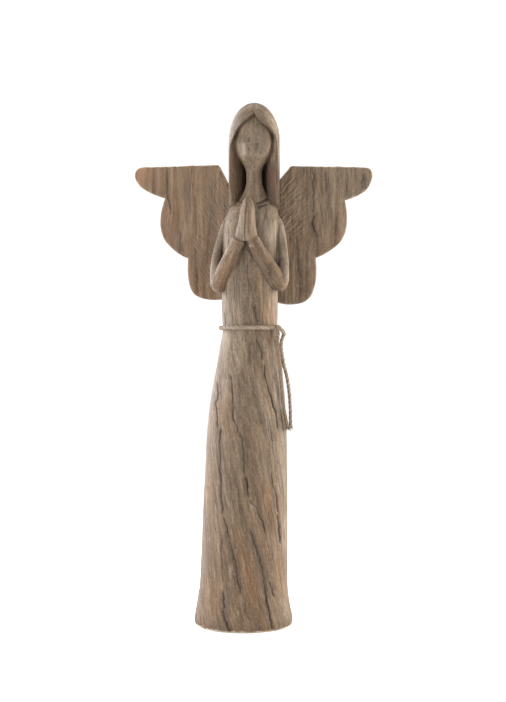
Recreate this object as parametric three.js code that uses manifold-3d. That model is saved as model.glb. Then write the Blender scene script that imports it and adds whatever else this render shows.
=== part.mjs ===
// Praying angel ornament in a weathered-wood finish: one casting (gown, arms, praying hands,
// blank face, hood of long hair and two board-like wings) with a twine belt tied at its waist.
// Millimetres, +Z up. The figure looks along -Y; +X is its left hand side, the viewer's right.
// The origin is the centre of the round foot, on the surface that it stands on.
import * as THREE from "three";
import { mergeVertices } from "three/addons/utils/BufferGeometryUtils.js";
import Module from "manifold-3d";

const wasm = await Module();
wasm.setup();

// ---------------------------------------------------------------- driving dimensions
const HEIGHT = 500; // foot to crown
const FOOT_R = 43.8; // where the foot meets the ground
const HEM_R = 46.9; // widest point of the flared hem
const BODY_SIDES = 32;

// Stations of the figure from foot to crown: height, middle x, half width, middle y, half depth.
const STATIONS = {
  foot: [0, 0.1, FOOT_R, 0, FOOT_R],
  footEdge: [1.6, 0, 45.4, 0, 45.2],
  hem: [6.5, 0.1, HEM_R, 0, 46.2],
  hemTop: [20, 0.1, 44.6, 0, 43.2],
  ankle: [38, 0.3, 42.2, 0, 40.6],
  shin: [70, 0.9, 41.1, 0, 39.0],
  knee: [114, 1.8, 40.3, 0, 37.4],
  thigh: [160, 2.7, 39.0, 0, 35.6],
  hip: [206, 4.0, 36.4, 0, 32.6],
  loin: [237, 5.3, 33.0, 0, 29.0],
  belly: [266, 6.4, 28.8, 0, 25.0],
  waist: [284, 6.4, 25.9, 0, 22.0],
  rib: [300, 6.7, 27.1, 0, 22.2],
  breast: [345, 7.0, 24.9, 0, 20.6],
  armpit: [382, 8.7, 25.4, 0.4, 19.2],
  shoulder: [394, 9.2, 24.4, 1.0, 16.8],
  slope: [400.5, 9.8, 21.4, 1.6, 14.6],
  collar: [406, 10.2, 16.6, 1.8, 12.2],
  throat: [413, 10.4, 11.2, 1.4, 9.8],
  neck: [424, 10.4, 7.8, 0.4, 8.0],
  nape: [433, 10.2, 7.5, -0.6, 8.0],
  jaw: [439.5, 10.2, 9.6, -2.8, 10.6],
  chin: [446, 10.2, 12.9, -3.4, 14.4],
  cheek: [454.5, 10.2, 16.0, -2.6, 17.2],
  temple: [464, 10.2, 17.3, -1.6, 18.6],
  brow: [474, 10.2, 16.2, -0.8, 17.8],
  scalp: [485, 10.2, 11.8, 0.2, 13.2],
  crown: [493, 10.2, 3.5, 0.6, 4.0],
};

// Hood of hair
const HAIR_X = 10.3;
const HAIR_Y = 1.0;
const HAIR_HALF_W = 24.5;
const HAIR_HALF_D = 23.0;
const HAIR_DOME_Z = 463.5; // where the dome starts, 36.5 below the crown
const HAIR_FRONT_Z = 404; // lower end beside the shoulders
const HAIR_BACK_DROP = 0.42; // the hair falls lower behind: mm per mm of depth
const PART_Z = 489.6; // peak of the parting over the face
const OPENING_X = 12.0; // a little to one side, so one lock of hair is thinner than the other
const OPENING_HALF_W = 19.4;
const OPENING_DEPTH_Y = 4; // how far back the opening reaches

// Wings: flat boards, swept back
const WING_ROOT = new THREE.Vector3(8.3, 9.5, 0); // middle of the front faces
const WING_SWEEP = THREE.MathUtils.degToRad(10);
const WING_T = 13;
const WING_EDGE = 1.6;
// distances out from the root along the board, and heights; right is the viewer's right
const WINGS = {
  left: { side: -1, top: 443.2, tipDrop: 17.8, inner: 36.5, tip: 120.5, notch1: [88.8, 411.8], lobe2: 92.7, notch2: [65.2, 352.4], lobe3: 64.8, low: [37.5, 312.1] },
  right: { side: 1, top: 441.7, tipDrop: 20.4, inner: 36.5, tip: 119.4, notch1: [91.2, 409.2], lobe2: 91.8, notch2: [62.0, 352.4], lobe3: 62.4, low: [35, 307.5] },
};
const WING_V_LOW = 388; // bottom of the notch between the wings, behind the neck

// Arms and hands: elbow and wrist of each side, with the sleeve's radii
const ARMS = {
  left: {
    upper: [[-6, 0.8, 391, 6.5], [-14.5, 0.4, 384.5, 6.2], [-19.2, -0.6, 373.3, 5.4], [-22.8, -2.6, 361.1, 5.0], [-24.8, -4.8, 350, 5.2], [-25.1, -6.9, 339.9, 6.0], [-23.8, -8.8, 327.5, 7.4]],
    fore: [[-23.6, -9.0, 325.8, 7.6], [-18.6, -14.0, 336.5, 7.2], [-13.4, -19.4, 346, 6.6], [-2.3, -27.6, 367.4, 5.6]],
  },
  right: {
    upper: [[24, 0.8, 391, 6.5], [31.7, 0.4, 385, 6.0], [35.0, -0.4, 376, 5.0], [37.4, -2.0, 366, 4.4], [38.6, -4.0, 355.6, 4.3], [38.8, -6.4, 345, 5.2], [36.4, -8.6, 331, 7.2]],
    fore: [[35.4, -9.0, 327, 7.8], [26.5, -15.0, 342, 8.0], [18.3, -21.4, 355.4, 6.9], [9.7, -27.6, 368.2, 5.5]],
  },
};
// Praying hands from the wrist up: height, middle x and half thickness of each; then middle y and half depth of both
const HANDS = {
  left: [[363, -1.8, 3.4], [372, -0.4, 4.2], [385, 0.5, 3.6], [393.5, 1.5, 3.1], [398.7, 2.35, 2.65], [403.3, 3.4, 2.0], [406.5, 4.2, 1.1]],
  right: [[363, 9.4, 3.4], [372, 8.35, 4.9], [385, 8.35, 4.6], [393.5, 8.3, 4.05], [398.7, 8.15, 3.5], [403.3, 7.5, 2.5], [406.5, 6.9, 1.4]],
};
const HAND_SIDE = [[363, -26.6, 3.4], [374, -28.2, 7.6], [388, -27.0, 7.8], [400, -24.6, 5.4], [406.5, -23.2, 2.2]];

// Twine belt
const CORD_D = 4.0;
const BELT_Z = 284;
const GAP = 0.35; // between the twine and what it touches
const KNOT_ANGLE = THREE.MathUtils.degToRad(-20); // from +X towards the front
const KNOT = { drop: 3.0, half: [5.2, 5.4, 6.4] };
// Tails: heights, distance out from the gown's skin to the twine's middle, and the angle round the gown
const TAILS = {
  cord_tail_front: [[-6.4, 4.6, -28], [-14, 4.6, -34.8], [-30, 4.2, -34], [-52, 3.2, -30.8], [-74, 2.8, -26.5], [-95, 3.6, -16.6]],
  cord_tail_side: [[-6.0, 7.2, -12.5], [-14, 4.0, -19], [-30, 3.0, -18.4], [-50, 4.4, -8.2], [-72, 5.4, -9.2], [-94, 4.6, -5.4]],
};

// ---------------------------------------------------------------- helpers
// Value of a smooth line through rows [key, ...values] at a key.
function smooth(rows, key) {
  let i = 0;
  while (i < rows.length - 2 && key > rows[i + 1][0]) i++;
  const a = rows[i], b = rows[i + 1], p = rows[Math.max(i - 1, 0)], q = rows[Math.min(i + 2, rows.length - 1)];
  const h = b[0] - a[0], t = THREE.MathUtils.clamp((key - a[0]) / h, 0, 1);
  return a.slice(1).map((v0, k) => {
    const v1 = b[k + 1];
    const s = (v1 - v0) / h;
    // harmonic slopes keep the line from overshooting its stations
    const slope = (l, r) => (l * r <= 0 ? 0 : (2 * l * r) / (l + r));
    const m0 = i === 0 ? s : slope((v0 - p[k + 1]) / (a[0] - p[0]), s);
    const m1 = i === rows.length - 2 ? s : slope(s, (q[k + 1] - v1) / (q[0] - b[0]));
    const t2 = t * t, t3 = t2 * t;
    return (2 * t3 - 3 * t2 + 1) * v0 + (t3 - 2 * t2 + t) * h * m0 + (3 * t2 - 2 * t3) * v1 + (t3 - t2) * h * m1;
  });
}

// Closed skin over a row of rings with the same number of points, with a fan over each end.
function loft(rings) {
  const n = rings[0].length, points = rings.flat(), index = [];
  for (let r = 0; r + 1 < rings.length; r++)
    for (let i = 0; i < n; i++) {
      const j = (i + 1) % n, a = r * n + i, b = r * n + j, c = a + n, d = b + n;
      index.push(a, b, d, a, d, c);
    }
  for (const [r, turn] of [[0, true], [rings.length - 1, false]]) {
    const middle = rings[r].reduce((s, p) => s.add(p), new THREE.Vector3()).divideScalar(n);
    points.push(middle);
    const m = points.length - 1;
    for (let i = 0; i < n; i++) {
      const a = r * n + i, b = r * n + ((i + 1) % n);
      index.push(...(turn ? [m, b, a] : [m, a, b]));
    }
  }
  const g = new THREE.BufferGeometry().setFromPoints(points);
  g.setIndex(index);
  return g;
}

// A limb: round rings along a smooth curve through rows [x, y, z, radius], domed at an end where asked.
function limb(rows, sides, steps, domeStart, domeEnd) {
  const curve = new THREE.CatmullRomCurve3(rows.map((r) => new THREE.Vector3(r[0], r[1], r[2])), false, "centripetal");
  const radii = rows.map((r, i) => [i / (rows.length - 1), r[3]]);
  const frames = curve.computeFrenetFrames(steps, false);
  const rings = [];
  const ring = (i, centre, r) =>
    Array.from({ length: sides }, (_, k) => {
      const a = (2 * Math.PI * k) / sides;
      return centre.clone()
        .addScaledVector(frames.normals[i], Math.cos(a) * r)
        .addScaledVector(frames.binormals[i], Math.sin(a) * r);
    });
  const dome = (i, sign) => {
    const out = [], c = curve.getPointAt(i / steps), r = smooth(radii, i / steps)[0];
    for (const q of [0.35, 0.7]) {
      const a = (q * Math.PI) / 2;
      out.push(ring(i, c.clone().addScaledVector(frames.tangents[i], sign * r * Math.sin(a)), r * Math.cos(a)));
    }
    return out;
  };
  if (domeStart) rings.push(...dome(0, -1).reverse());
  for (let i = 0; i <= steps; i++) rings.push(ring(i, curve.getPointAt(i / steps), smooth(radii, i / steps)[0]));
  if (domeEnd) rings.push(...dome(steps, 1));
  return loft(rings);
}

// A closed geometry as a solid facing out, and a solid as a geometry.
function solid(geometry) {
  const bare = geometry.clone();
  bare.deleteAttribute("normal");
  bare.deleteAttribute("uv");
  const merged = mergeVertices(bare, 1e-4);
  const triVerts = new Uint32Array(merged.index.array);
  const vertProperties = merged.attributes.position.array;
  const at = (i) => new THREE.Vector3().fromArray(vertProperties, 3 * i);
  let volume = 0;
  for (let i = 0; i < triVerts.length; i += 3) volume += at(triVerts[i]).dot(at(triVerts[i + 1]).cross(at(triVerts[i + 2])));
  if (volume < 0) for (let i = 0; i < triVerts.length; i += 3) [triVerts[i + 1], triVerts[i + 2]] = [triVerts[i + 2], triVerts[i + 1]];
  return new wasm.Manifold(new wasm.Mesh({ numProp: 3, vertProperties, triVerts }));
}
function geometryOf(made) {
  const m = made.getMesh(), g = new THREE.BufferGeometry();
  g.setAttribute("position", new THREE.BufferAttribute(new Float32Array(m.vertProperties), 3));
  g.setIndex(new THREE.BufferAttribute(new Uint32Array(m.triVerts), 1));
  g.computeVertexNormals();
  return g;
}

// ---------------------------------------------------------------- gown, trunk, neck and face
const rows = Object.values(STATIONS);
// Point on the figure's skin at a height and an angle (0 at +X, -90 degrees at the front), moved out by some distance.
function skin(z, angle, out = 0) {
  const [cx, rx, cy, ry] = smooth(rows, z);
  return new THREE.Vector3(cx + (rx + out) * Math.cos(angle), cy + (ry + out) * Math.sin(angle), z);
}
const levels = [0, 1.6, 3.6, 6.5, 12, 20, 29, 40];
for (let z = 56; z < 200; z += 24) levels.push(z);
for (let z = 200; z < 300; z += 12) levels.push(z);
for (let z = 300; z < 384; z += 16) levels.push(z);
for (let z = 384; z < 412; z += 4) levels.push(z);
for (let z = 413; z <= 485; z += 5) levels.push(z);
levels.push(493);
const trunk = loft(levels.map((z) => Array.from({ length: BODY_SIDES }, (_, i) => skin(z, (2 * Math.PI * i) / BODY_SIDES))));

// Rolled edge of the neckline, dipping at the front
const neckline = (t) => {
  const front = Math.max(0, -Math.sin(2 * Math.PI * t));
  return skin(406.6 - 6.4 * Math.pow(front, 1.7), 2 * Math.PI * t, -0.2);
};
const necklineCurve = new THREE.CatmullRomCurve3(Array.from({ length: 20 }, (_, i) => neckline(i / 20)), true);
const collar = new THREE.TubeGeometry(necklineCurve, 26, 1.25, 6, true);

// ---------------------------------------------------------------- hair
const hairLevels = [0, 3, 12, 26, 44];
const domeSteps = 8;
const hairRings = [];
const hairRing = (z, scale, low) =>
  Array.from({ length: 28 }, (_, i) => {
    const a = (2 * Math.PI * i) / 28;
    const x = HAIR_X + HAIR_HALF_W * scale * Math.cos(a), y = HAIR_Y + HAIR_HALF_D * scale * Math.sin(a);
    return new THREE.Vector3(x, y, z - low * Math.max(0, y + 12) * HAIR_BACK_DROP);
  });
for (const h of hairLevels) hairRings.push(hairRing(HAIR_FRONT_Z + h, h === 0 ? 0.955 : 1, 1 - h / 50));
for (let i = 0; i < domeSteps; i++) {
  const a = (i / domeSteps) * (Math.PI / 2);
  hairRings.push(hairRing(HAIR_DOME_Z + (HEIGHT - HAIR_DOME_Z) * Math.sin(a), Math.cos(a), 0));
}
hairRings.push(hairRing(HEIGHT, 0.03, 0));
const arch = new THREE.Shape();
arch.moveTo(-OPENING_HALF_W, 380);
arch.lineTo(-OPENING_HALF_W, 452);
arch.bezierCurveTo(-OPENING_HALF_W, 466, -17.5, 473, 0, PART_Z);
arch.bezierCurveTo(17.5, 473, OPENING_HALF_W, 466, OPENING_HALF_W, 452);
arch.lineTo(OPENING_HALF_W, 380);
arch.closePath();
const opening = new THREE.ExtrudeGeometry(arch, { depth: 50, bevelEnabled: false, curveSegments: 7 });
opening.rotateX(Math.PI / 2); // the arch stands up, its depth along -Y
opening.translate(OPENING_X, OPENING_DEPTH_Y, 0);
const hair = solid(loft(hairRings)).subtract(solid(opening));

// ---------------------------------------------------------------- wings
function wing({ side, top, tipDrop, inner, tip, notch1, lobe2, notch2, lobe3, low }) {
  const s = new THREE.Shape();
  const tipR = 9;
  s.moveTo(0, WING_V_LOW);
  s.lineTo(inner, top);
  s.lineTo(tip - tipR, top);
  s.bezierCurveTo(tip + 1, top, tip + 2, top - 9.5, tip - 5, top - tipDrop); // round tip
  s.bezierCurveTo(tip - 10, top - tipDrop - 5.5, notch1[0] + 11, notch1[1] + 3.5, notch1[0], notch1[1]); // lower edge of the first feather
  s.bezierCurveTo(lobe2 + 2.5, 396, lobe2 + 3.5, 377, lobe2 - 6.5, 367); // second feather
  s.bezierCurveTo(lobe2 - 13, 360.5, notch2[0] + 8, 355, notch2[0], notch2[1]);
  s.bezierCurveTo(lobe3 + 1.5, 336, lobe3 + 0.5, 318, lobe3 - 10.5, low[1] + 2.5); // third feather
  s.bezierCurveTo(lobe3 - 17, low[1] - 1, low[0] - 4, low[1] - 1.5, 24, low[1] + 2.5);
  s.lineTo(0, low[1] + 14);
  s.closePath();
  const g = new THREE.ExtrudeGeometry(s, {
    depth: WING_T - 2 * WING_EDGE, bevelThickness: WING_EDGE, bevelSize: WING_EDGE, bevelOffset: -WING_EDGE, bevelSegments: 1, curveSegments: 6,
  });
  g.translate(0, 0, WING_EDGE - WING_T); // front face at 0, the board behind it
  g.rotateX(Math.PI / 2); // shape's y becomes the height, its depth runs back along +Y
  g.scale(side, 1, 1);
  g.rotateZ(side * WING_SWEEP);
  g.translate(WING_ROOT.x, WING_ROOT.y, 0);
  return g;
}

// ---------------------------------------------------------------- hands
function hand(rows) {
  const levels = [363, 367, 372, 378, 385, 391, 396, 400, 403.5, 406.5];
  return loft(levels.map((z) => {
    const [cx, hx] = smooth(rows, z), [cy, hy] = smooth(HAND_SIDE, z);
    return Array.from({ length: 12 }, (_, k) => {
      const a = (2 * Math.PI * k) / 12;
      return new THREE.Vector3(cx + hx * Math.cos(a), cy + hy * Math.sin(a), z);
    });
  }));
}

// ---------------------------------------------------------------- the casting
let figure = solid(trunk).add(hair).add(solid(collar));
for (const w of Object.values(WINGS)) figure = figure.add(solid(wing(w)));
for (const a of Object.values(ARMS)) figure = figure.add(solid(limb(a.upper, 12, 9, true, true))).add(solid(limb(a.fore, 12, 8, true, false)));
for (const h of Object.values(HANDS)) figure = figure.add(solid(hand(h)));
// a casting has no closed-off pockets inside, so only its outer skin is kept
figure = figure.decompose().reduce((a, b) => (b.volume() > a.volume() ? b : a));

// ---------------------------------------------------------------- twine
const r = CORD_D / 2;
const beltCurve = new THREE.CatmullRomCurve3(
  Array.from({ length: 32 }, (_, i) => skin(BELT_Z, (2 * Math.PI * i) / 32, r + GAP + 0.15)), true);
const belt = new THREE.TubeGeometry(beltCurve, 44, r, 8, true);
const knotLump = new THREE.SphereGeometry(1, 14, 10);
knotLump.scale(...KNOT.half);
knotLump.rotateZ(KNOT_ANGLE);
const knotAt = skin(BELT_Z - KNOT.drop, KNOT_ANGLE, GAP + KNOT.half[0]);
knotLump.translate(knotAt.x, knotAt.y, knotAt.z);
const knot = solid(knotLump);
const loopAndKnot = solid(belt).add(knot).subtract(figure);

function tail(route) {
  const points = route.map(([dz, out, deg]) => skin(BELT_Z + dz, THREE.MathUtils.degToRad(deg), out));
  const curve = new THREE.CatmullRomCurve3(points, false, "centripetal");
  const section = new THREE.Shape();
  for (let i = 0; i < 8; i++) {
    const a = (2 * Math.PI * i) / 8;
    section[i ? "lineTo" : "moveTo"](r * Math.cos(a), r * Math.sin(a));
  }
  section.closePath();
  return new THREE.ExtrudeGeometry(section, { extrudePath: curve, steps: 12, bevelEnabled: false });
}
const knotClear = knotLump.clone().translate(-knotAt.x, -knotAt.y, -knotAt.z).scale(1.07, 1.07, 1.06).translate(knotAt.x, knotAt.y, knotAt.z);

// ---------------------------------------------------------------- scene graph
const wood = new THREE.MeshStandardMaterial({ color: 0x8d7867, roughness: 0.85, metalness: 0 });
const twine = new THREE.MeshStandardMaterial({ color: 0x94826f, roughness: 0.95, metalness: 0 });
const angel = new THREE.Group();
const add = (name, geometry, material) => {
  const mesh = new THREE.Mesh(geometry, material);
  mesh.name = name;
  angel.add(mesh);
};
add("angel_figure", geometryOf(figure), wood);
add("waist_cord", geometryOf(loopAndKnot), twine);
for (const [name, route] of Object.entries(TAILS)) add(name, geometryOf(solid(tail(route)).subtract(solid(knotClear))), twine);

export default angel;
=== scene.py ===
import math

import bpy
import numpy as np
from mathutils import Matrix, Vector


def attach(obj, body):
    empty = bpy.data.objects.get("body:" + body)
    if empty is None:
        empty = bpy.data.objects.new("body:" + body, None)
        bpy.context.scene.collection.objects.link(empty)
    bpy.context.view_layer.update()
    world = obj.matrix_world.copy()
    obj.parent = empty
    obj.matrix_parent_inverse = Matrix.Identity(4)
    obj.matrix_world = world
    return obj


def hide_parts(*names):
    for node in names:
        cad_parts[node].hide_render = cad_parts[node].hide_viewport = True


# A praying angel ornament with the look of weathered wood, and a twine belt tied round its waist.
# Sizes below are in millimetres, in the model's own frame: +Z up, the figure looks along -Y.
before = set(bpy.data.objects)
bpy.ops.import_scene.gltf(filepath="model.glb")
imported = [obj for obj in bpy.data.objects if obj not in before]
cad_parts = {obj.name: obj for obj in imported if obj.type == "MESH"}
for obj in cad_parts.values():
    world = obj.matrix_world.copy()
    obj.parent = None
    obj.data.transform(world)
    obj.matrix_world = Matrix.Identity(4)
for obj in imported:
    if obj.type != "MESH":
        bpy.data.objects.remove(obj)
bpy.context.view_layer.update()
MM = 0.001

# ------------------------------------------------------------------------------------------ sizes
# Gown, trunk, neck and head: height, middle x, half width, middle y, half depth
STATIONS = [
    (0, 0.1, 45.0, 0, 44.8), (1.3, 0, 46.2, 0, 45.8), (6.5, 0.1, 46.9, 0, 46.2), (20, 0.1, 44.6, 0, 43.2),
    (38, 0.3, 42.2, 0, 40.6), (70, 0.9, 41.1, 0, 39.0), (114, 1.8, 40.3, 0, 37.4), (160, 2.7, 39.0, 0, 35.6),
    (206, 4.0, 36.4, 0, 32.6), (237, 5.3, 33.0, 0, 29.0), (266, 6.4, 28.8, 0, 25.0), (284, 6.4, 25.9, 0, 22.0),
    (300, 6.3, 26.7, 0, 22.2), (345, 6.5, 26.8, 0, 20.6), (382, 7.6, 26.8, 0.4, 19.2), (394, 9.2, 24.4, 1.0, 16.8),
    (400.5, 9.8, 21.4, 1.6, 14.6), (406, 10.2, 16.6, 1.8, 12.2), (413, 10.4, 11.2, 1.4, 9.8), (424, 10.4, 7.8, 0.4, 8.0),
    (433, 10.2, 7.5, -0.2, 7.9), (439.5, 10.2, 9.6, -2.6, 10.4), (446, 10.4, 13.6, -3.3, 14.4), (454.5, 10.5, 17.3, -2.1, 16.9),
    (464, 10.5, 18.8, -0.7, 17.1), (474, 10.6, 18.1, 0.5, 16.6), (485, 10.4, 14.6, 1.3, 13.8), (493, 10.2, 6.0, 1.0, 7.0),
]
HAIR_X, HAIR_Y, HAIR_HALF_W, HAIR_HALF_D = 10.3, 1.0, 24.5, 23.0
HAIR_DOME_Z, HEIGHT = 463.5, 500.0
HAIR_FRONT_Z, HAIR_BACK_DROP = 404.0, 0.42
PART_Z, OPENING_X, OPENING_HALF_W = 489.6, 12.0, 19.4
WING_ROOT = (8.3, 9.5)
WING_SWEEP = math.radians(10)
WING_T, WING_ROUND = 13.0, 2.1
WINGS = {
    "left": dict(side=-1, top=443.2, drop=17.8, notch=[(23.4, 420.5), (29.8, 432.8)], inner=35.2, tip=120.5, n1=(88.8, 411.8), l2=92.7, n2=(65.2, 352.4), l3=64.8, low=(37.5, 312.1)),
    "right": dict(side=1, top=441.7, drop=20.4, notch=[(24.0, 424.2)], inner=37.9, tip=119.4, n1=(91.2, 409.2), l2=91.8, n2=(62.0, 352.4), l3=62.4, low=(35.0, 307.5)),
}
WING_V_LOW = 388.0
ARMS = {
    "left": dict(
        upper=[(-6, 0.8, 391, 6.5), (-13.9, -0.4, 384.5, 6.1), (-18.8, -3.0, 373.3, 5.1), (-22.8, -6.0, 361.1, 4.4), (-25.2, -8.0, 350, 4.6), (-25.3, -9.2, 339.9, 5.8), (-23.8, -9.6, 327.5, 7.4)],
        fore=[(-22.6, -9.4, 325.6, 8.1), (-18.2, -14.0, 336.4, 7.7), (-12.8, -19.4, 346.4, 7.4), (-2.6, -27.2, 367.4, 6.5)],
    ),
    "right": dict(
        upper=[(24, 0.8, 391, 6.5), (31.7, -0.4, 385, 6.0), (35.2, -2.6, 376, 4.9), (37.8, -5.4, 366, 4.1), (39.0, -7.6, 355.6, 3.9), (39.2, -9.0, 345, 4.6), (36.8, -9.4, 331, 7.2)],
        fore=[(35.2, -9.4, 327, 7.9), (26.2, -15.0, 340, 7.7), (17.1, -21.4, 353.8, 6.8), (9.8, -27.2, 368.2, 6.1)],
    ),
}
HANDS = [(364, 3.9, 8.0), (372, 4.3, 8.9), (385, 4.9, 8.0), (393.5, 5.4, 7.0), (398.7, 5.7, 6.0), (403.3, 5.7, 4.3), (406.5, 5.7, 2.5), (407.4, 5.6, 1.2)]  # both, palm to palm
HAND_SIDE = [(364, -27.2, 5.0), (374, -28.2, 7.6), (388, -27.0, 7.8), (400, -24.6, 5.4), (406.5, -23.2, 2.2), (407.4, -23.0, 1.0)]
WRISTS = [[(-3.6, -26.8, 363, 4.8), (-0.2, -28.0, 375, 4.8)], [(10.9, -26.8, 363, 4.8), (8.9, -28.0, 375, 4.8)]]
CORD_D, BELT_Z = 4.0, 284.0
TAILS = {  # height from the belt, distance out from the gown's skin, angle round the gown
    "cord_tail_front": [(-6.4, 4.6, -28), (-14, 4.6, -34.8), (-30, 4.2, -34), (-52, 3.2, -30.8), (-74, 2.8, -26.5), (-95, 3.6, -16.6)],
    "cord_tail_side": [(-6.0, 7.2, -12.5), (-14, 4.0, -19), (-30, 3.0, -18.4), (-50, 4.4, -8.2), (-72, 5.4, -9.2), (-94, 4.6, -5.4)],
}

# ------------------------------------------------------------------------------------------ curves and noise
def table(rows):
    """Smooth line through rows (key, values...), with harmonic slopes, so it never overshoots a station."""
    a = np.asarray(rows, float)
    t, v = a[:, 0], a[:, 1:]
    h = np.diff(t)
    s = np.diff(v, axis=0) / h[:, None]
    m = np.empty_like(v)
    m[0], m[-1] = s[0], s[-1]
    l, r = s[:-1], s[1:]
    both = l + r
    m[1:-1] = np.where(l * r <= 0, 0, 2 * l * r / np.where(both == 0, 1, both))

    def at(key):
        key = np.asarray(key, float)
        i = np.clip(np.searchsorted(t, key, side="right") - 1, 0, len(t) - 2)
        u = np.clip((key - t[i]) / h[i], 0, 1)
        u2, u3 = u * u, u * u * u
        c = (2 * u3 - 3 * u2 + 1, (u3 - 2 * u2 + u) * h[i], 3 * u2 - 2 * u3, (u3 - u2) * h[i])
        return [c[0] * v[i, k] + c[1] * m[i, k] + c[2] * v[i + 1, k] + c[3] * m[i + 1, k] for k in range(v.shape[1])]

    return at


body_at = table(STATIONS)
hand_side_at = table(HAND_SIDE)


def skin(z, angle, out=0.0):
    cx, rx, cy, ry = body_at(z)
    return np.array([cx + (rx + out) * math.cos(angle), cy + (ry + out) * math.sin(angle), z])


def curve(points, step):
    """Points about step apart on a centripetal Catmull-Rom curve through points (any number of columns)."""
    p = np.asarray(points, float)
    p = np.vstack([2 * p[0] - p[1], p, 2 * p[-1] - p[-2]])
    out = []
    for i in range(1, len(p) - 2):
        q = p[i - 1 : i + 3]
        k = np.concatenate([[0], np.cumsum(np.maximum(np.linalg.norm(np.diff(q[:, :3], axis=0), axis=1), 1e-6) ** 0.5)])
        n = max(2, int(np.ceil(np.linalg.norm(q[2, :3] - q[1, :3]) / step)))
        for t in k[1] + (k[2] - k[1]) * np.arange(n) / n:
            a = [(k[j + 1] - t) / (k[j + 1] - k[j]) * q[j] + (t - k[j]) / (k[j + 1] - k[j]) * q[j + 1] for j in range(3)]
            b = [(k[j + 2] - t) / (k[j + 2] - k[j]) * a[j] + (t - k[j]) / (k[j + 2] - k[j]) * a[j + 1] for j in range(2)]
            out.append((k[2] - t) / (k[2] - k[1]) * b[0] + (t - k[1]) / (k[2] - k[1]) * b[1])
    return np.array(out + [p[-2]])


GRADIENTS = np.array([(1, 1, 0), (-1, 1, 0), (1, -1, 0), (-1, -1, 0), (1, 0, 1), (-1, 0, 1), (1, 0, -1), (-1, 0, -1),
                      (0, 1, 1), (0, -1, 1), (0, 1, -1), (0, -1, -1), (1, 1, 0), (-1, 1, 0), (0, -1, 1), (0, -1, -1)], np.float32)


def noise(p, seed=0):
    """Gradient noise of points (N, 3), about -1 to 1."""
    p = np.asarray(p, np.float32)
    f = np.floor(p)
    i = f.astype(np.int64)
    t = p - f
    w = t * t * t * (t * (t * 6 - 15) + 10)
    total = np.zeros(len(p), np.float32)
    for c in range(8):
        o = np.array([c & 1, c >> 1 & 1, c >> 2 & 1])
        j = i + o
        h = (j[:, 0] * 73856093) ^ (j[:, 1] * 19349663) ^ (j[:, 2] * 83492791) ^ (seed * 265443576 + 97)
        h &= 0xFFFFFFFF
        h = ((h ^ (h >> 13)) * 1274126177) & 0xFFFFFFFF
        h ^= h >> 16
        g = GRADIENTS[h & 15]
        d = ((t - o) * g).sum(1)
        total += d * np.prod(np.where(o, w, 1 - w), axis=1)
    return total * 1.15


def fade(x, a, b):
    """0 at a, 1 at b, smooth between; a may be above b."""
    t = np.clip((x - a) / (b - a), 0, 1)
    return t * t * (3 - 2 * t)


def smin(a, b, k):
    h = np.maximum(k - np.abs(a - b), 0) / k
    return np.minimum(a, b) - h * h * (k / 4)


def smax(a, b, k):
    return -smin(-a, -b, k)


# ------------------------------------------------------------------------------------------ camera
CAM_AZ, CAM_D, CAM_AIM = math.radians(3), 1300.0, np.array([9.22, 0.0, 261.9])
FRAME_W, FRAME_H, FOCAL = 506, 702, 1300.0 / 0.96
CAM_RIGHT = np.array([math.cos(CAM_AZ), math.sin(CAM_AZ), 0])
CAM_AHEAD = np.array([-math.sin(CAM_AZ), math.cos(CAM_AZ), 0])
CAM_POS = CAM_AIM - CAM_AHEAD * CAM_D


def picture(p):
    """Where points (N, 3) come in the picture, in pixels."""
    q = p - CAM_AIM
    d = CAM_D + q @ CAM_AHEAD
    return np.stack([FRAME_W / 2 + FOCAL * (q @ CAM_RIGHT) / d, FRAME_H / 2 - FOCAL * q[:, 2] / d], 1)


cam_data = bpy.data.cameras.new("camera")
cam = bpy.data.objects.new("camera", cam_data)
bpy.context.collection.objects.link(cam)
cam_data.sensor_width = 36
cam_data.lens = 36 * FOCAL / FRAME_H
cam_data.clip_start, cam_data.clip_end = 0.05, 50
cam.location = Vector(CAM_POS * MM)
cam.rotation_mode = "QUATERNION"
cam.rotation_quaternion = Vector(CAM_AHEAD).to_track_quat("-Z", "Y")
bpy.context.scene.camera = cam


# ------------------------------------------------------------------------------------------ mesh helpers
def make_object(name, verts, faces, vectors=(), floats=()):
    """Object from vertices in millimetres, with named attributes of its points."""
    me = bpy.data.meshes.new(name)
    me.from_pydata([tuple(v) for v in np.asarray(verts) * MM], [], [tuple(int(i) for i in f) for f in faces])
    me.validate()
    me.update()
    put_attributes(me, vectors, floats)
    me.shade_smooth()
    o = bpy.data.objects.new(name, me)
    bpy.context.collection.objects.link(o)
    return o


def put_attributes(me, vectors=(), floats=()):
    for key, value in dict(vectors).items():
        a = me.attributes.new(key, "FLOAT_VECTOR", "POINT")
        a.data.foreach_set("vector", np.asarray(value, np.float32).ravel())
    for key, value in dict(floats).items():
        a = me.attributes.new(key, "FLOAT", "POINT")
        a.data.foreach_set("value", np.asarray(value, np.float32).ravel())


# ------------------------------------------------------------------------------------------ twine
PLY_R, PLY_OFF, PITCH = 1.24, 0.77, 15.0  # three plies laid round each other
TWINE_SIDES = 24


def frames_along(path):
    """Tangents and two normals that don't spin along a path."""
    t = np.gradient(path, axis=0)
    t /= np.linalg.norm(t, axis=1)[:, None]
    n = np.empty_like(t)
    start = np.array([0, 0, 1.0]) if abs(t[0, 2]) < 0.8 else np.array([1.0, 0, 0])
    n[0] = start - t[0] * (start @ t[0])
    n[0] /= np.linalg.norm(n[0])
    for i in range(1, len(path)):
        v = n[i - 1] - t[i] * (n[i - 1] @ t[i])
        n[i] = v / np.linalg.norm(v)
    return t, n, np.cross(t, n)


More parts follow.
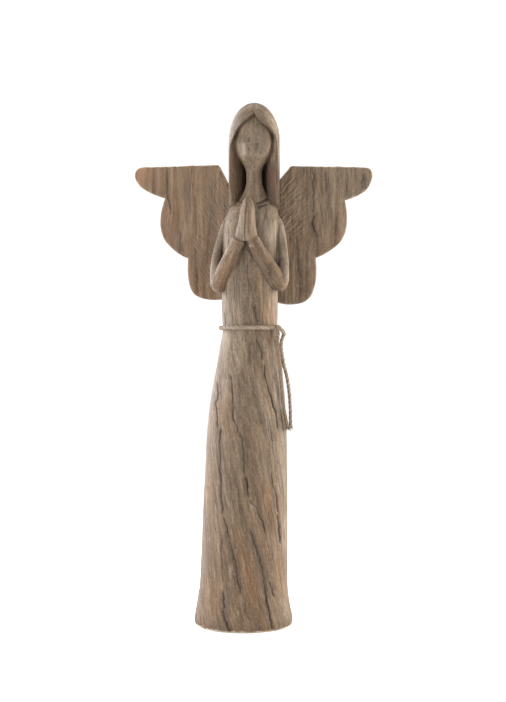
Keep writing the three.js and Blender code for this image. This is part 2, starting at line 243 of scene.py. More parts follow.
class Twine:
    """Mesh of twisted strands, collected strand by strand."""

    def __init__(self):
        self.v, self.f, self.lay = [], [], []

    def tube(self, path, radius, lay, closed=False):
        """radius (rings, sides); lay (rings, sides, 3) is what the fibres follow."""
        n, sides = radius.shape
        t, a, b = frames_along(path)
        if closed:  # spread what the frame has turned over the whole ring
            turn = math.atan2(a[-1] @ b[0], a[-1] @ a[0])
            ang = -turn * np.arange(n) / (n - 1)
            a, b = a * np.cos(ang)[:, None] + b * np.sin(ang)[:, None], b * np.cos(ang)[:, None] - a * np.sin(ang)[:, None]
        phi = 2 * np.pi * np.arange(sides) / sides
        ring = path[:, None, :] + radius[:, :, None] * (a[:, None, :] * np.cos(phi)[None, :, None] + b[:, None, :] * np.sin(phi)[None, :, None])
        base = sum(len(x) for x in self.v)
        self.v.append(ring.reshape(-1, 3))
        self.lay.append(lay.reshape(-1, 3))
        for i in range(n - 1):
            for j in range(sides):
                k = (j + 1) % sides
                self.f.append((base + i * sides + j, base + i * sides + k, base + (i + 1) * sides + k, base + (i + 1) * sides + j))
        if not closed:
            for i, flip in ((0, True), (n - 1, False)):
                self.v.append(path[i : i + 1])
                self.lay.append(lay[i, :1])
                m = base + n * sides + (0 if flip else 1)
                for j in range(sides):
                    k = (j + 1) % sides
                    x, y = base + i * sides + j, base + i * sides + k
                    self.f.append((m, y, x) if flip else (m, x, y))
        return t, a, b

    def cord(self, path, phase=0.0, swell=None, seed=1):
        """Three-ply twine along a path; returns the twist at its end and where its first ply lies at both ends."""
        n = len(path)
        s = np.concatenate([[0], np.cumsum(np.linalg.norm(np.diff(path, axis=0), axis=1))])
        phi = 2 * np.pi * np.arange(TWINE_SIDES) / TWINE_SIDES
        twist = phase + 2 * np.pi * s / PITCH
        d = phi[None, :] - twist[:, None]
        ply = np.round(d / (2 * np.pi / 3))
        d = d - ply * 2 * np.pi / 3
        r = PLY_OFF * np.cos(d) + np.sqrt(PLY_R**2 - (PLY_OFF * np.sin(d)) ** 2)
        q = np.stack([np.cos(phi)[None, :] * 1.3 + 0 * s[:, None], np.sin(phi)[None, :] * 1.3 + 0 * s[:, None], s[:, None] / 4 + 0 * phi[None, :]], 2)
        r = r * (1 + 0.05 * noise(q.reshape(-1, 3) + 7.3 * seed, seed).reshape(n, -1))
        if swell is not None:
            r = r * swell[:, None]
        # fibres run along each ply, a little across it
        lay = np.stack([d * PLY_R * 1.6 + ply * 9.0, np.broadcast_to(s[:, None] * 0.10 + d * 0.5, r.shape), np.full(r.shape, seed * 17.0)], 2)
        t, a, b = self.tube(path, r, lay)
        return twist[-1], [a[i] * math.cos(twist[i]) + b[i] * math.sin(twist[i]) for i in (0, -1)]

    def hair(self, start, way, length, radius, bend, rng, sides=5):
        """A thin fibre that tapers off."""
        n = 7
        u = np.linspace(0, 1, n)
        way = way / np.linalg.norm(way)
        path = start + np.outer(u * length, way) + np.outer(u * u * length, bend)
        r = radius * (1 - 0.75 * u)[:, None] * np.ones((1, sides))
        lay = np.stack([np.full(r.shape, rng.uniform(0, 60)), np.broadcast_to((u * length * 0.1)[:, None], r.shape), np.zeros(r.shape)], 2)
        self.tube(path, r, lay)

    def frayed_end(self, path, phase, rng, spread):
        """The three plies come apart past the cut end, and their fibres fan out."""
        t, a, b = (x[-1] for x in frames_along(path[-4:]))
        for ply in range(3):
            ang = phase + ply * 2 * np.pi / 3
            side = a * math.cos(ang) + b * math.sin(ang)
            for _ in range(11):
                off = PLY_R * 0.75 * math.sqrt(rng.uniform()) * np.array([math.cos(x := rng.uniform(0, 6.283)), math.sin(x)])
                p = path[-1] - t * 1.6 + side * PLY_OFF + a * off[0] + b * off[1]
                way = t + side * spread * rng.uniform(0.3, 1.3) + (a * rng.normal() + b * rng.normal()) * 0.12
                self.hair(p, way, rng.uniform(3.0, 5.6), rng.uniform(0.26, 0.40), (a * rng.normal() + b * rng.normal()) * 0.10, rng)

    def build(self, name, darkening_and_painted_shade=0.0):
        v = np.vstack(self.v)
        return make_object(name, v, self.f, {"lay": np.vstack(self.lay)}, {"darkening_and_painted_shade": np.full(len(v), darkening_and_painted_shade)})


STEP = 0.6
rng = np.random.default_rng(20)
tail_paths = {}
for name, route in TAILS.items():
    pts = [skin(BELT_Z + dz, math.radians(deg), out) for dz, out, deg in route]
    tail_paths[name] = curve(pts, STEP)

# belt: from the knot round the waist and back to it. The end in front turns down and becomes the front tail;
# the end from behind goes over it and turns down in a bight at the side as the side tail.
def round_waist(deg, out, z):
    return skin(BELT_Z, math.radians(deg), out) * (1, 1, 0) + (0, 0, z)


INTO = 7  # how many steps of each tail the belt's own twine goes on into it
belt_pts = [round_waist(d, o, z) for d, o, z in ((-16.5, 7.8, 279.3), (-21.5, 8.3, 280.5), (-27.5, 8.5, 281.9), (-31.5, 6.6, 283.5), (-27.5, 4.3, 284.9), (-18, 2.9, 284.8), (-7, 2.5, 284.4), (6, 2.45, 284.1))]
belt_pts += [round_waist(d, 2.45, BELT_Z) for d in range(20, 308, 14)]
belt_pts += [round_waist(d, o, z) for d, o, z in ((316, 2.45, 284.0), (323, 2.6, 283.9), (328, 3.2, 283.1), (331, 4.1, 281.0))]
side_in, front_in = (tail_paths[k][: INTO + 1] for k in ("cord_tail_side", "cord_tail_front"))
belt_path = np.vstack([side_in[:0:-1], curve([side_in[0], *belt_pts, front_in[0]], STEP), front_in[1:]])
ends = np.minimum(np.arange(len(belt_path)), np.arange(len(belt_path))[::-1])
belt = Twine()
_, plies = belt.cord(belt_path, 0.4, 0.45 + 0.45 * fade(ends, 0, 3.0) + 0.10 * fade(ends, 3, 14), seed=1)
waist_cord = belt.build("twine_belt", 0.3)
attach(waist_cord, "root")
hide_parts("waist_cord")

twines = [waist_cord]
for k, (name, path) in enumerate(tail_paths.items()):
    tw, fray = Twine(), Twine()
    swell = 0.89 + 0.04 * np.sin(np.linspace(0, 5 + k, len(path)))
    # the plies go on from those of the belt
    _, a, b = (x[INTO] for x in frames_along(path))
    ply = plies[-1 if k == 0 else 0]
    run = float(np.linalg.norm(np.diff(path[: INTO + 1], axis=0), axis=1).sum())
    ph, _ = tw.cord(path, math.atan2(ply @ b, ply @ a) - 2 * np.pi * run / PITCH, swell, seed=2 + k)
    fray.frayed_end(path, ph, rng, 0.34 if k == 0 else 0.2)
    # the front tail is darkened with painted shade, as it hangs in the shade of the side light
    o = tw.build("twine_end_front" if k == 0 else "twine_end_side", 0.9 if k == 0 else 0.0)
    f = fray.build("twine_fray_front" if k == 0 else "twine_fray_side", 0.9 if k == 0 else 0.0)
    for piece in (o, f):
        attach(piece, "root")
        twines.append(piece)
    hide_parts(name)


# ------------------------------------------------------------------------------------------ distance to each form
def d_ellipse(x, y, cx, rx, cy, ry):
    """About the distance to an upright form with oval sections."""
    px, py = (x - cx) / rx, (y - cy) / ry
    k0 = np.sqrt(px * px + py * py)
    k1 = np.sqrt((px / rx) ** 2 + (py / ry) ** 2)
    return np.where(k0 < 0.05, -np.minimum(rx, ry), k0 * (k0 - 1) / np.maximum(k1, 1e-5))


def neckline_z(x, y):
    front = np.clip(-(y - 1.6) / np.sqrt((x - 10) ** 2 + (y - 1.6) ** 2 + 1e-6), 0, 1)
    return 405.6 - 5.8 * front**1.7


def d_body(x, y, z):
    cx, rx, cy, ry = (a.astype(np.float32) for a in body_at(z))
    if np.max(z) > 300:  # the sections of the chest's front and of the face are a little squarer
        p = (2 + 0.55 * fade(z, 438, 452) + 0.8 * fade(z, 316, 338) * fade(z, 396, 382) * fade(y, 3, -4)).astype(np.float32)
        a, b = np.abs(x - cx) / rx + 1e-4, np.abs(y - cy) / ry + 1e-4
        k = (a**p + b**p) ** (1 / p)
        d = (k - 1) / np.sqrt(((a / k) ** (p - 1) / rx) ** 2 + ((b / k) ** (p - 1) / ry) ** 2)
        d = np.maximum(d, -np.minimum(rx, ry))
    else:
        d = d_ellipse(x, y, cx, rx, cy, ry)
    d = np.maximum(d, z - 493.0)
    # rolled edge of the neckline: a low round bead with a fine crease above and below it
    n = z - neckline_z(x, y)
    near = fade(z, 388, 394) * fade(z, 413, 409)
    bead = np.exp(-((n / 1.0) ** 2)) * 0.5 - np.exp(-(((n - 1.8) / 0.6) ** 2)) * 0.7 - np.exp(-(((n + 1.7) / 0.6) ** 2)) * 0.55
    d = d - near * bead
    return smax(d, -z, 0.8)


def bezier(p0, p1, p2, p3, n=14):
    t = np.linspace(0, 1, n, endpoint=False)[:, None]
    p0, p1, p2, p3 = (np.array(p, float) for p in (p0, p1, p2, p3))
    return (1 - t) ** 3 * p0 + 3 * (1 - t) ** 2 * t * p1 + 3 * (1 - t) * t * t * p2 + t**3 * p3


def wing_outline(w):
    top, tip, n1, n2, l2, l3, low = w["top"], w["tip"], w["n1"], w["n2"], w["l2"], w["l3"], w["low"]
    a, b, c, d = (tip - 9, top), (tip - 5, top - w["drop"]), n1, (l2 - 6.5, 367)
    e, f, g = n2, (l3 - 10.5, low[1] + 2.5), (24, low[1] + 2.5)
    return np.vstack([
        [(-3, WING_V_LOW - 3), *w["notch"], (w["inner"], top)],
        bezier(a, (tip + 1, top), (tip + 2, top - 9.5), b),
        bezier(b, (tip - 10, top - w["drop"] - 5.5), (n1[0] + 11, n1[1] + 3.5), c),
        bezier(c, (l2 + 2.5, 396), (l2 + 3.5, 377), d),
        bezier(d, (l2 - 13, 360.5), (n2[0] + 8, 355), e),
        bezier(e, (l3 + 1.5, 336), (l3 + 0.5, 318), f),
        bezier(f, (l3 - 17, low[1] - 1), (low[0] - 4, low[1] - 1.5), g),
        [(24, low[1] + 2.5), (-3, low[1] + 14)],
    ])


def d_polygon(poly, u, v):
    """Signed distance of points to a closed outline."""
    shape = u.shape
    q = np.stack([u.ravel(), v.ravel()], 1)
    best = np.full(len(q), 1e9)
    inside = np.zeros(len(q), bool)
    for a, b in zip(poly, np.roll(poly, -1, axis=0)):
        e = b - a
        if not e.any():
            continue
        w = q - a
        t = np.clip(w @ e / (e @ e), 0, 1)
        best = np.minimum(best, ((w - t[:, None] * e) ** 2).sum(1))
        cross = (a[1] > q[:, 1]) != (b[1] > q[:, 1])
        if a[1] != b[1]:
            inside ^= cross & (q[:, 0] < e[0] * (q[:, 1] - a[1]) / e[1] + a[0])
    d = np.sqrt(best)
    return np.where(inside, -d, d).reshape(shape)


class Outline:
    """Distance to a flat outline, kept on a grid of its plane."""

    def __init__(self, poly, lo, hi, step=0.6):
        self.lo, self.step = np.array(lo, float), step
        n = np.ceil((np.array(hi) - lo) / step).astype(int) + 2
        u = lo[0] + step * np.arange(n[0])
        v = lo[1] + step * np.arange(n[1])
        self.d = d_polygon(poly, *np.meshgrid(u, v, indexing="ij")).astype(np.float32)

    def at(self, u, v):
        a = np.clip((u - self.lo[0]) / self.step, 0, self.d.shape[0] - 1.001)
        b = np.clip((v - self.lo[1]) / self.step, 0, self.d.shape[1] - 1.001)
        a, b = np.broadcast_arrays(a, b)
        i, j = a.astype(np.int32), b.astype(np.int32)
        f, g = (a - i).astype(np.float32), (b - j).astype(np.float32)
        return (self.d[i, j] * (1 - f) + self.d[i + 1, j] * f) * (1 - g) + (self.d[i, j + 1] * (1 - f) + self.d[i + 1, j + 1] * f) * g


outlines = {k: Outline(wing_outline(w), (-8, 296), (134, 452)) for k, w in WINGS.items()}


def d_wing(key):
    """Board with rounded edges, in its own coordinates: out along it, behind its front, up."""
    def at(u, w, z):
        a = outlines[key].at(u, z) + WING_ROUND
        b = np.abs(w - WING_T / 2) - WING_T / 2 + WING_ROUND
        a, b = np.broadcast_arrays(a, b)
        return np.minimum(np.maximum(a, b), 0) + np.sqrt(np.maximum(a, 0) ** 2 + np.maximum(b, 0) ** 2) - WING_ROUND
    return at


# edge of the hair round the face, from the left lock's lower end over the parting to the right one's
PARTING = (11.2, 488.6)
left_edge = curve([(-16.2, 438, 0), (-13.8, 452.5, 0), (-10.3, 460.5, 0), (-7.6, 467, 0), (-4.4, 473.4, 0), (0.0, 478.6, 0), (5.9, 483.8, 0), (*PARTING, 0)], 1.5)[:, :2]
right_edge = curve([(*PARTING, 0), (15.3, 483.2, 0), (20.6, 478.4, 0), (26.2, 473.3, 0), (29.6, 468.2, 0), (32.1, 461.5, 0), (34.6, 452.5, 0), (36.8, 438, 0)], 1.5)[:, :2]
arch_outline = Outline(np.vstack([[(-16.2, 380)], left_edge, right_edge[1:], [(36.8, 380)]]), (-22, 376), (44, 504))


def d_hair(x, y, z):
    up = np.maximum(z - HAIR_DOME_Z, 0) / (HEIGHT - HAIR_DOME_Z)
    p = (2 + 0.9 * fade(z, 408, 424) * fade(z, 474, 456)).astype(np.float32)  # the locks' sections are squarer than the crown's
    px, py = np.abs(x - HAIR_X) / HAIR_HALF_W + 1e-4, np.abs(y - HAIR_Y) / HAIR_HALF_D + 1e-4
    q = (px**p + py**p) ** (1 / p)
    k = np.sqrt(q * q + up * up)
    g = np.sqrt((q / k) ** 2 * (((px / q) ** (p - 1) / HAIR_HALF_W) ** 2 + ((py / q) ** (p - 1) / HAIR_HALF_D) ** 2) + (up / k / (HEIGHT - HAIR_DOME_Z)) ** 2)
    d = np.maximum((k - 1) / g, -20)
    low = HAIR_FRONT_Z - np.maximum(0, y + 12) * HAIR_BACK_DROP
    d = smax(d, (low - z) * 0.92, 3.0)
    # the opening closes in with depth: steeply under the crown's edge, and in a long slope along the locks
    room = np.maximum(1 - up * up, 0.02) ** (p / 2) - px**p
    face = HAIR_Y - HAIR_HALF_D * np.maximum(room, 0.004) ** (1 / p)
    w = fade(z, 468, 446)
    t, u = np.maximum(y - face, 0), np.maximum(y + 12.5, 0)
    opening = arch_outline.at(x, z) + (1 - w) * (0.12 * t + 0.012 * t * t) + w * (9.0 * (1 - np.exp(-u / 3.5)) + 0.45 * u)
    opening = smax(opening, y - 12.0, 2.0)
    return smax(d, -opening * 0.9, 1.5 + 1.2 * w)


def limb_rows(rows):
    return curve(rows, 5.0)


def d_limb(rows, cut=False):
    c = limb_rows(rows)

    def at(x, y, z):
        best = None
        for a, b in zip(c[:-1], c[1:]):
            e = b[:3] - a[:3]
            wx, wy, wz = x - a[0], y - a[1], z - a[2]
            t = np.clip((wx * e[0] + wy * e[1] + wz * e[2]) / (e @ e), 0, 1)
            d = np.sqrt((wx - t * e[0]) ** 2 + (wy - t * e[1]) ** 2 + (wz - t * e[2]) ** 2) - (a[3] + t * (b[3] - a[3]))
            best = d if best is None else smin(best, d, 0.6)
        if cut:  # the sleeve's end is square across the arm
            e = c[-1][:3] - c[-3][:3]
            e = e / np.linalg.norm(e)
            best = smax(best, (x - c[-1][0]) * e[0] + (y - c[-1][1]) * e[1] + (z - c[-1][2]) * e[2], 1.3)
        return best

    return at


hands_at = table(HANDS)
wrists = [d_limb(w) for w in WRISTS]


def d_hands(x, y, z):
    cx, hx = hands_at(z)
    cy, hy = hand_side_at(z)
    d = d_ellipse(x, y, cx, hx, cy, hy)
    d = smax(smax(d, z - 407.4, 0.8), 365.5 - z, 3.0)
    return smin(smin(d, wrists[0](x, y, z), 2.0), wrists[1](x, y, z), 2.0)


UPPER = {"body": (d_body, (-50, -50, 270), (52, 50, 498), 0), "hair": (d_hair, (-18, -26, 382), (39, 28, 504), 0.8)}
for k, a in ARMS.items():
    for part, join in (("upper", 1.3), ("fore", 1.0)):
        c = limb_rows(a[part])
        UPPER[part + "_" + k] = (d_limb(a[part], part == "fore"), tuple(c[:, :3].min(0) - 12), tuple(c[:, :3].max(0) + 12), join)
UPPER["hands"] = (d_hands, (-11, -40, 355), (19, -16, 411), 0.6)
GOWN = {"body": (d_body, (-50, -50, -4), (52, 50, 300), 0)}
# what joins the upper arms to the trunk behind the gap
WEBS = [
    [(-9.5, 1.5, 382, 4.5), (-15.8, -0.4, 369, 4.5), (-19.4, -1.8, 357, 4.6), (-20.8, -2.8, 345, 5.0)],
    [(28.5, 0.2, 382, 4.5), (33.4, -2.0, 369, 4.5), (34.8, -3.5, 357, 4.6), (34.8, -4.4, 345, 5.0)],
]
WEBS = [(d_limb(w), tuple(np.array(w)[:, :3].min(0) - 9), tuple(np.array(w)[:, :3].max(0) + 9), 2.0) for w in WEBS]
KEYS = list(UPPER) + ["wing_left", "wing_right"]


# ------------------------------------------------------------------------------------------ skin of a form
def surface(F, lo, h):
    """Skin of F < 0 as vertices and four-sided faces, one vertex for each cell that the skin crosses."""
    S = F < 0
    n = np.zeros([k - 1 for k in S.shape], np.int8)
    corners = [(i, j, k) for i in (0, 1) for j in (0, 1) for k in (0, 1)]
    for c in corners:
        n += S[tuple(slice(c[i], S.shape[i] - 1 + c[i]) for i in range(3))]
    live = (n > 0) & (n < 8)
    cells = np.argwhere(live)
    index = np.full(live.shape, -1, np.int32)
    index[live] = np.arange(len(cells))
    total, count = np.zeros((len(cells), 3)), np.zeros(len(cells))
    for c in corners:
        for ax in range(3):
            if c[ax]:
                continue
            e = np.array(c)
            e[ax] = 1
            a, b = (F[tuple((cells + k).T)] for k in (np.array(c), e))
            m = (a < 0) != (b < 0)
            t = a[m] / (a[m] - b[m])
            p = np.tile(np.array(c, float), (m.sum(), 1))
            p[:, ax] = t
            total[m] += p
            count[m] += 1
    verts = lo + h * (cells + total / count[:, None])
    faces = []
    for ax in range(3):
        b, c = (ax + 1) % 3, (ax + 2) % 3
        first = [slice(None)] * 3
        second = [slice(None)] * 3
        first[ax], second[ax] = slice(0, -1), slice(1, None)
        s0, s1 = S[tuple(first)], S[tuple(second)]
        e = np.argwhere(s0 != s1)
        eb, ec = np.zeros(3, int), np.zeros(3, int)
        eb[b], ec[c] = 1, 1
        quad = np.stack([index[tuple((e - k).T)] for k in (eb + ec, ec, 0 * eb, eb)], 1)
        out = s0[tuple(e.T)]
        quad[~out] = quad[~out][:, ::-1]
        faces.append(quad)
    return verts, np.vstack(faces)


class Field:
    """Signed distance on a grid."""

    def __init__(self, forms, lo, hi, h):
        self.lo, self.h = np.array(lo, float), h
        n = np.ceil((np.array(hi) - lo) / h).astype(int) + 1
        self.axes = [(lo[i] + h * np.arange(n[i])).astype(np.float32) for i in range(3)]
        self.f = np.full(n, 6.0, np.float32)
        for fn, flo, fhi, join in forms:
            s = tuple(slice(max(0, int((flo[i] - 5 - lo[i]) / h)), max(1, min(n[i], int((fhi[i] + 5 - lo[i]) / h) + 2))) for i in range(3))
            d = fn(self.axes[0][s[0]][:, None, None], self.axes[1][s[1]][None, :, None], self.axes[2][s[2]][None, None, :]).astype(np.float32)
            self.f[s] = smin(self.f[s], d, join) if join else np.minimum(self.f[s], d)

    def at(self, p):
        q = np.clip((p - self.lo) / self.h, 0, np.array(self.f.shape) - 1.001)
        i = q.astype(int)
        f = q - i
        out = 0
        for c in range(8):
            o = np.array([c & 1, c >> 1 & 1, c >> 2 & 1])
            out = out + self.f[tuple((i + o).T)] * np.prod(np.where(o, f, 1 - f), axis=1)
        return out

    def slope(self, p):
        e = self.h * 0.8
        g = np.stack([self.at(p + np.eye(3)[k] * e) - self.at(p - np.eye(3)[k] * e) for k in range(3)], 1)
        return g / np.maximum(np.linalg.norm(g, axis=1), 1e-6)[:, None]


def belongs(p, forms):
    """Which form each point is nearest to."""
    best, which = np.full(len(p), 1e9), np.zeros(len(p), int)
    for key, (fn, lo, hi, _) in forms.items():
        m = np.all((p > np.array(lo) - 4) & (p < np.array(hi) + 4), axis=1)
        if not m.any():
            continue
        q = p[m].astype(np.float32)
        d = fn(q[:, 0], q[:, 1], q[:, 2])
        less = d < best[m]
        ids = np.flatnonzero(m)[less]
        best[ids], which[ids] = d[less], KEYS.index(key)
    return which


def wing_uvw(side, x, y):
    """Distance out along a wing's board, and depth behind its front."""
    c, s = math.cos(WING_SWEEP), math.sin(WING_SWEEP)
    dx, dy = (x - WING_ROOT[0]) * side, y - WING_ROOT[1]
    return dx * c + dy * s, -dx * s + dy * c


def wing_way(side, p, turn=False):
    """Points, or directions, of a wing's own coordinates in the model's frame."""
    c, s = math.cos(WING_SWEEP), math.sin(WING_SWEEP)
    x, y = (p[:, 0] * c - p[:, 1] * s) * side, p[:, 0] * s + p[:, 1] * c
    return np.stack([x, y, p[:, 2]], 1) + (0 if turn else np.array([*WING_ROOT, 0]))


# ------------------------------------------------------------------------------------------ grain, cracks and carving
def grain_of(p, which):
    """Where points lie in the grain: two numbers across it and one along it, in millimetres."""
    x, y, z = p.T
    # the gown's grain winds round it, so that it slants to the right on its way down the front
    turn = 0.0052 * (np.minimum(z, 300) - 190) + 0.0020 * np.maximum(z - 300, 0)
    turn = turn * fade(z, 430, 380)
    c, s = np.cos(turn), np.sin(turn)
    g = np.stack([(x - 5) * c - y * s, (x - 5) * s + y * c, z], 1)
    for i, key in enumerate(KEYS):
        m = which == i
        if not m.any() or key == "body":
            continue
        if key == "hair":
            # strands fall from the parting to both sides, then straight down
            far = np.abs(x[m] - HAIR_X)
            rise = np.maximum(z[m] - 452, 0)
            g[m] = np.stack([far + 0.018 * rise**2 + np.where(x[m] > HAIR_X, 150, 0), y[m] * 0.8, z[m] - 0.5 * far], 1)
        elif key.startswith("wing"):
            u, w = wing_uvw(WINGS[key[5:]]["side"], x[m], y[m])
            g[m] = np.stack([u + (310 if key == "wing_left" else 520), w, z[m]], 1)
        elif key == "hands":
            g[m] = np.stack([x[m] * 1.1 + 700, y[m] * 0.5, z[m] - 0.3 * y[m]], 1)
        else:
            rows = limb_rows(ARMS[key.split("_")[1]][key.split("_")[0]])
            a, b = rows[0, :3], rows[-1, :3]
            e = (b - a) / np.linalg.norm(b - a)
            s1 = np.cross(e, (0, -1, 0))
            s1 /= np.linalg.norm(s1)
            s2 = np.cross(e, s1)
            q = p[m] - a
            g[m] = np.stack([q @ s1 + 820 + 60 * i, q @ s2, q @ e], 1)
    return g


# Cracks as they come in the picture: half width in pixels, depth, darkness, points (x, y) in pixels
CRACKS = [
    # gown above and below the belt
    (0.7, 0.9, 0.8, [(253, 303), (256.5, 313), (256.8, 318), (259, 325)]),
    (0.7, 0.9, 0.7, [(254.8, 336), (259.3, 346), (261.8, 353), (263.6, 363)]),
    (0.8, 1.2, 1.0, [(263.2, 360), (265.2, 375), (267.4, 388), (271.8, 400), (275.2, 410), (276.8, 420), (278.4, 432)]),
    (0.7, 0.9, 0.8, [(229.8, 372), (231.6, 381), (232.9, 393), (233.4, 407), (233.8, 418), (237, 428), (238, 437)]),
    (0.8, 0.8, 0.75, [(217.8, 380), (217.7, 391), (216.4, 405), (217, 420), (218.6, 431)]),
    (0.6, 0.5, 0.4, [(233.4, 352), (235.2, 363)]),
    (0.6, 0.5, 0.4, [(247.7, 354), (248.8, 366)]),
    (0.7, 0.7, 0.6, [(224.3, 312), (225.6, 326)]),
    (0.6, 0.5, 0.4, [(259.3, 410), (262.9, 427)]),
    (0.6, 0.6, 0.5, [(268.2, 417), (270.9, 433), (272.5, 446)]),
    # lower gown
    (0.8, 0.9, 0.7, [(220.3, 425), (220.5, 441), (220.4, 470), (221.9, 494), (222.5, 503), (223.2, 518)]),
    (0.7, 1.0, 0.9, [(222.8, 514), (227.9, 532), (231.9, 547), (235.3, 561), (236.6, 577), (240, 588), (241.3, 597)]),
    (0.8, 0.9, 0.8, [(238, 430), (242.6, 438), (244, 457), (244.2, 470), (245, 477)]),
    (0.9, 1.5, 1.1, [(244.4, 474), (246.7, 482), (247.3, 490), (249.3, 499)]),
    (0.8, 0.9, 0.75, [(249, 497), (252, 503), (257.4, 510), (262.1, 521), (266, 536)]),
    (0.9, 1.1, 0.8, [(249.3, 526), (254.7, 544), (260.1, 560), (263.4, 577), (266.8, 602), (269.5, 615), (272.1, 629)]),
    (0.8, 0.9, 0.8, [(268.1, 581), (272.1, 589), (274.1, 599)]),
    (0.7, 0.8, 0.5, [(270.8, 470), (273.5, 486), (276.8, 500), (278, 516)]),
    (0.8, 1.1, 0.9, [(277.6, 512), (278.4, 523), (279.5, 533), (280.9, 546)]),
    (0.7, 0.7, 0.5, [(221.2, 535), (221.9, 564), (223.4, 586)]),
    (1.1, 1.4, 0.9, [(223.8, 588), (223.9, 611), (225.9, 621), (229.6, 631)]),
    (0.6, 0.5, 0.35, [(245.3, 601), (244.7, 618)]),
    (0.6, 0.5, 0.4, [(258.7, 603), (264.1, 618)]),
    # chest, face and sleeves
    (0.6, 0.6, 0.5, [(247.6, 252), (247.9, 267), (248.3, 277)]),
    (0.7, 0.9, 0.8, [(248.2, 272), (250.4, 286), (252, 298)]),
    (0.7, 0.7, 0.6, [(233.9, 270), (234.2, 281), (234.9, 292), (235.3, 302)]),
    (0.7, 0.7, 0.6, [(269, 261), (270, 271), (270.8, 278)]),
    (0.7, 0.4, 0.6, [(236.3, 242.5), (237.2, 246)]),
    (0.7, 0.3, 0.9, [(249.8, 136.5), (249.6, 142.5)]),
    (0.7, 0.3, 0.7, [(249.6, 147), (249.5, 151)]),
    (0.7, 0.3, 0.7, [(255.8, 142), (255.6, 147)]),
    (0.7, 0.3, 0.8, [(260.0, 149.5), (260.4, 155)]),
    (0.45, 0.25, 0.5, [(249.7, 156.5), (249.4, 161)]),
    (0.45, 0.25, 0.5, [(262.3, 147), (262.4, 152)]),
    (0.45, 0.25, 0.5, [(256.7, 138), (256.8, 141.5)]),
    # left wing, then right wing
    (0.7, 0.9, 0.7, [(167, 167), (167.2, 182), (167.7, 197), (171, 207), (170.8, 216)]),
    (0.6, 0.6, 0.5, [(180.4, 228), (180.2, 242), (181, 255)]),
    (0.6, 0.6, 0.45, [(195.5, 245), (196.6, 272), (198, 295)]),
    (0.6, 0.7, 0.6, [(312.2, 168), (313.3, 186), (313.3, 201), (312.3, 216)]),
    (0.9, 1.2, 0.9, [(312.4, 212), (313, 224), (314.4, 231), (316.5, 240)]),
    (0.6, 0.5, 0.4, [(336.2, 214), (335.5, 233), (337, 240)]),
    (0.8, 0.8, 0.6, [(363.5, 172), (361.8, 180), (362.2, 191)]),
    (0.7, 0.4, 0.3, [(296.5, 235), (297.6, 257), (299.2, 275), (300.3, 298)]),
    (0.5, 0.4, 0.3, [(346.5, 178), (345.4, 197)]),
    (0.6, 0.5, 0.5, [(326.2, 168), (325, 180), (326, 196)]),
]
# Lines of the carving: between the hands, along a thumb, round the cuffs, and at the neckline; then painted shadow
# under the hood and the sleeves, and painted shade in the creases beside the upper arms
LINES = [
    (0.75, 0.9, 0.75, [(245.2, 243), (244.7, 232), (245.2, 222), (246.3, 209), (247.3, 201)]),
    (0.6, 0.45, 0.4, [(248.2, 236), (248.4, 222), (248.6, 208)]),
    (0.6, 0.25, 0.35, [(233.4, 235.2), (239, 238.6), (244.6, 242.4)]),
    (0.6, 0.25, 0.35, [(246.6, 241.4), (252, 238), (257.8, 234.6)]),
    (1.2, 0.8, 0.95, [(255, 204.4), (262, 201.8), (269.4, 198.6)]),
    (1.0, 0.9, 0.95, [(256, 207.8), (262, 205.9), (268, 203.6)]),
    (1.0, 0.4, 0.75, [(234.6, 198.6), (237.5, 200.8), (240, 202.6)]),
    # painted shadow under the hood's edge on the face, with no depth
    (1.7, 0.0, 0.55, [(253.2, 114.5), (245.4, 121.5), (239.6, 128), (236.2, 135), (234.8, 141)]),
    (1.7, 0.0, 0.6, [(253.2, 114.5), (261.6, 121.5), (267.6, 127.5), (271.4, 134.5), (273, 141)]),
    # painted shadow under the sleeves, and painted shade in the creases beside the upper arms, each over a shallow
    # groove
    (0.9, 0.3, 0.6, [(245.6, 246), (250.5, 253.5), (255.4, 261), (264, 274.5), (270, 284.5), (273.8, 291)]),
    (0.9, 0.2, 0.35, [(243.4, 245.5), (238.5, 254.5), (233.5, 264.7), (228, 277)]),
    (0.9, 0.3, 0.75, [(224.8, 217.6), (223.9, 226), (223.3, 235), (223, 246), (222.4, 256)]),
    (0.8, 0.2, 0.3, [(279.4, 221), (278.8, 232), (278.2, 244), (277, 257)]),
]
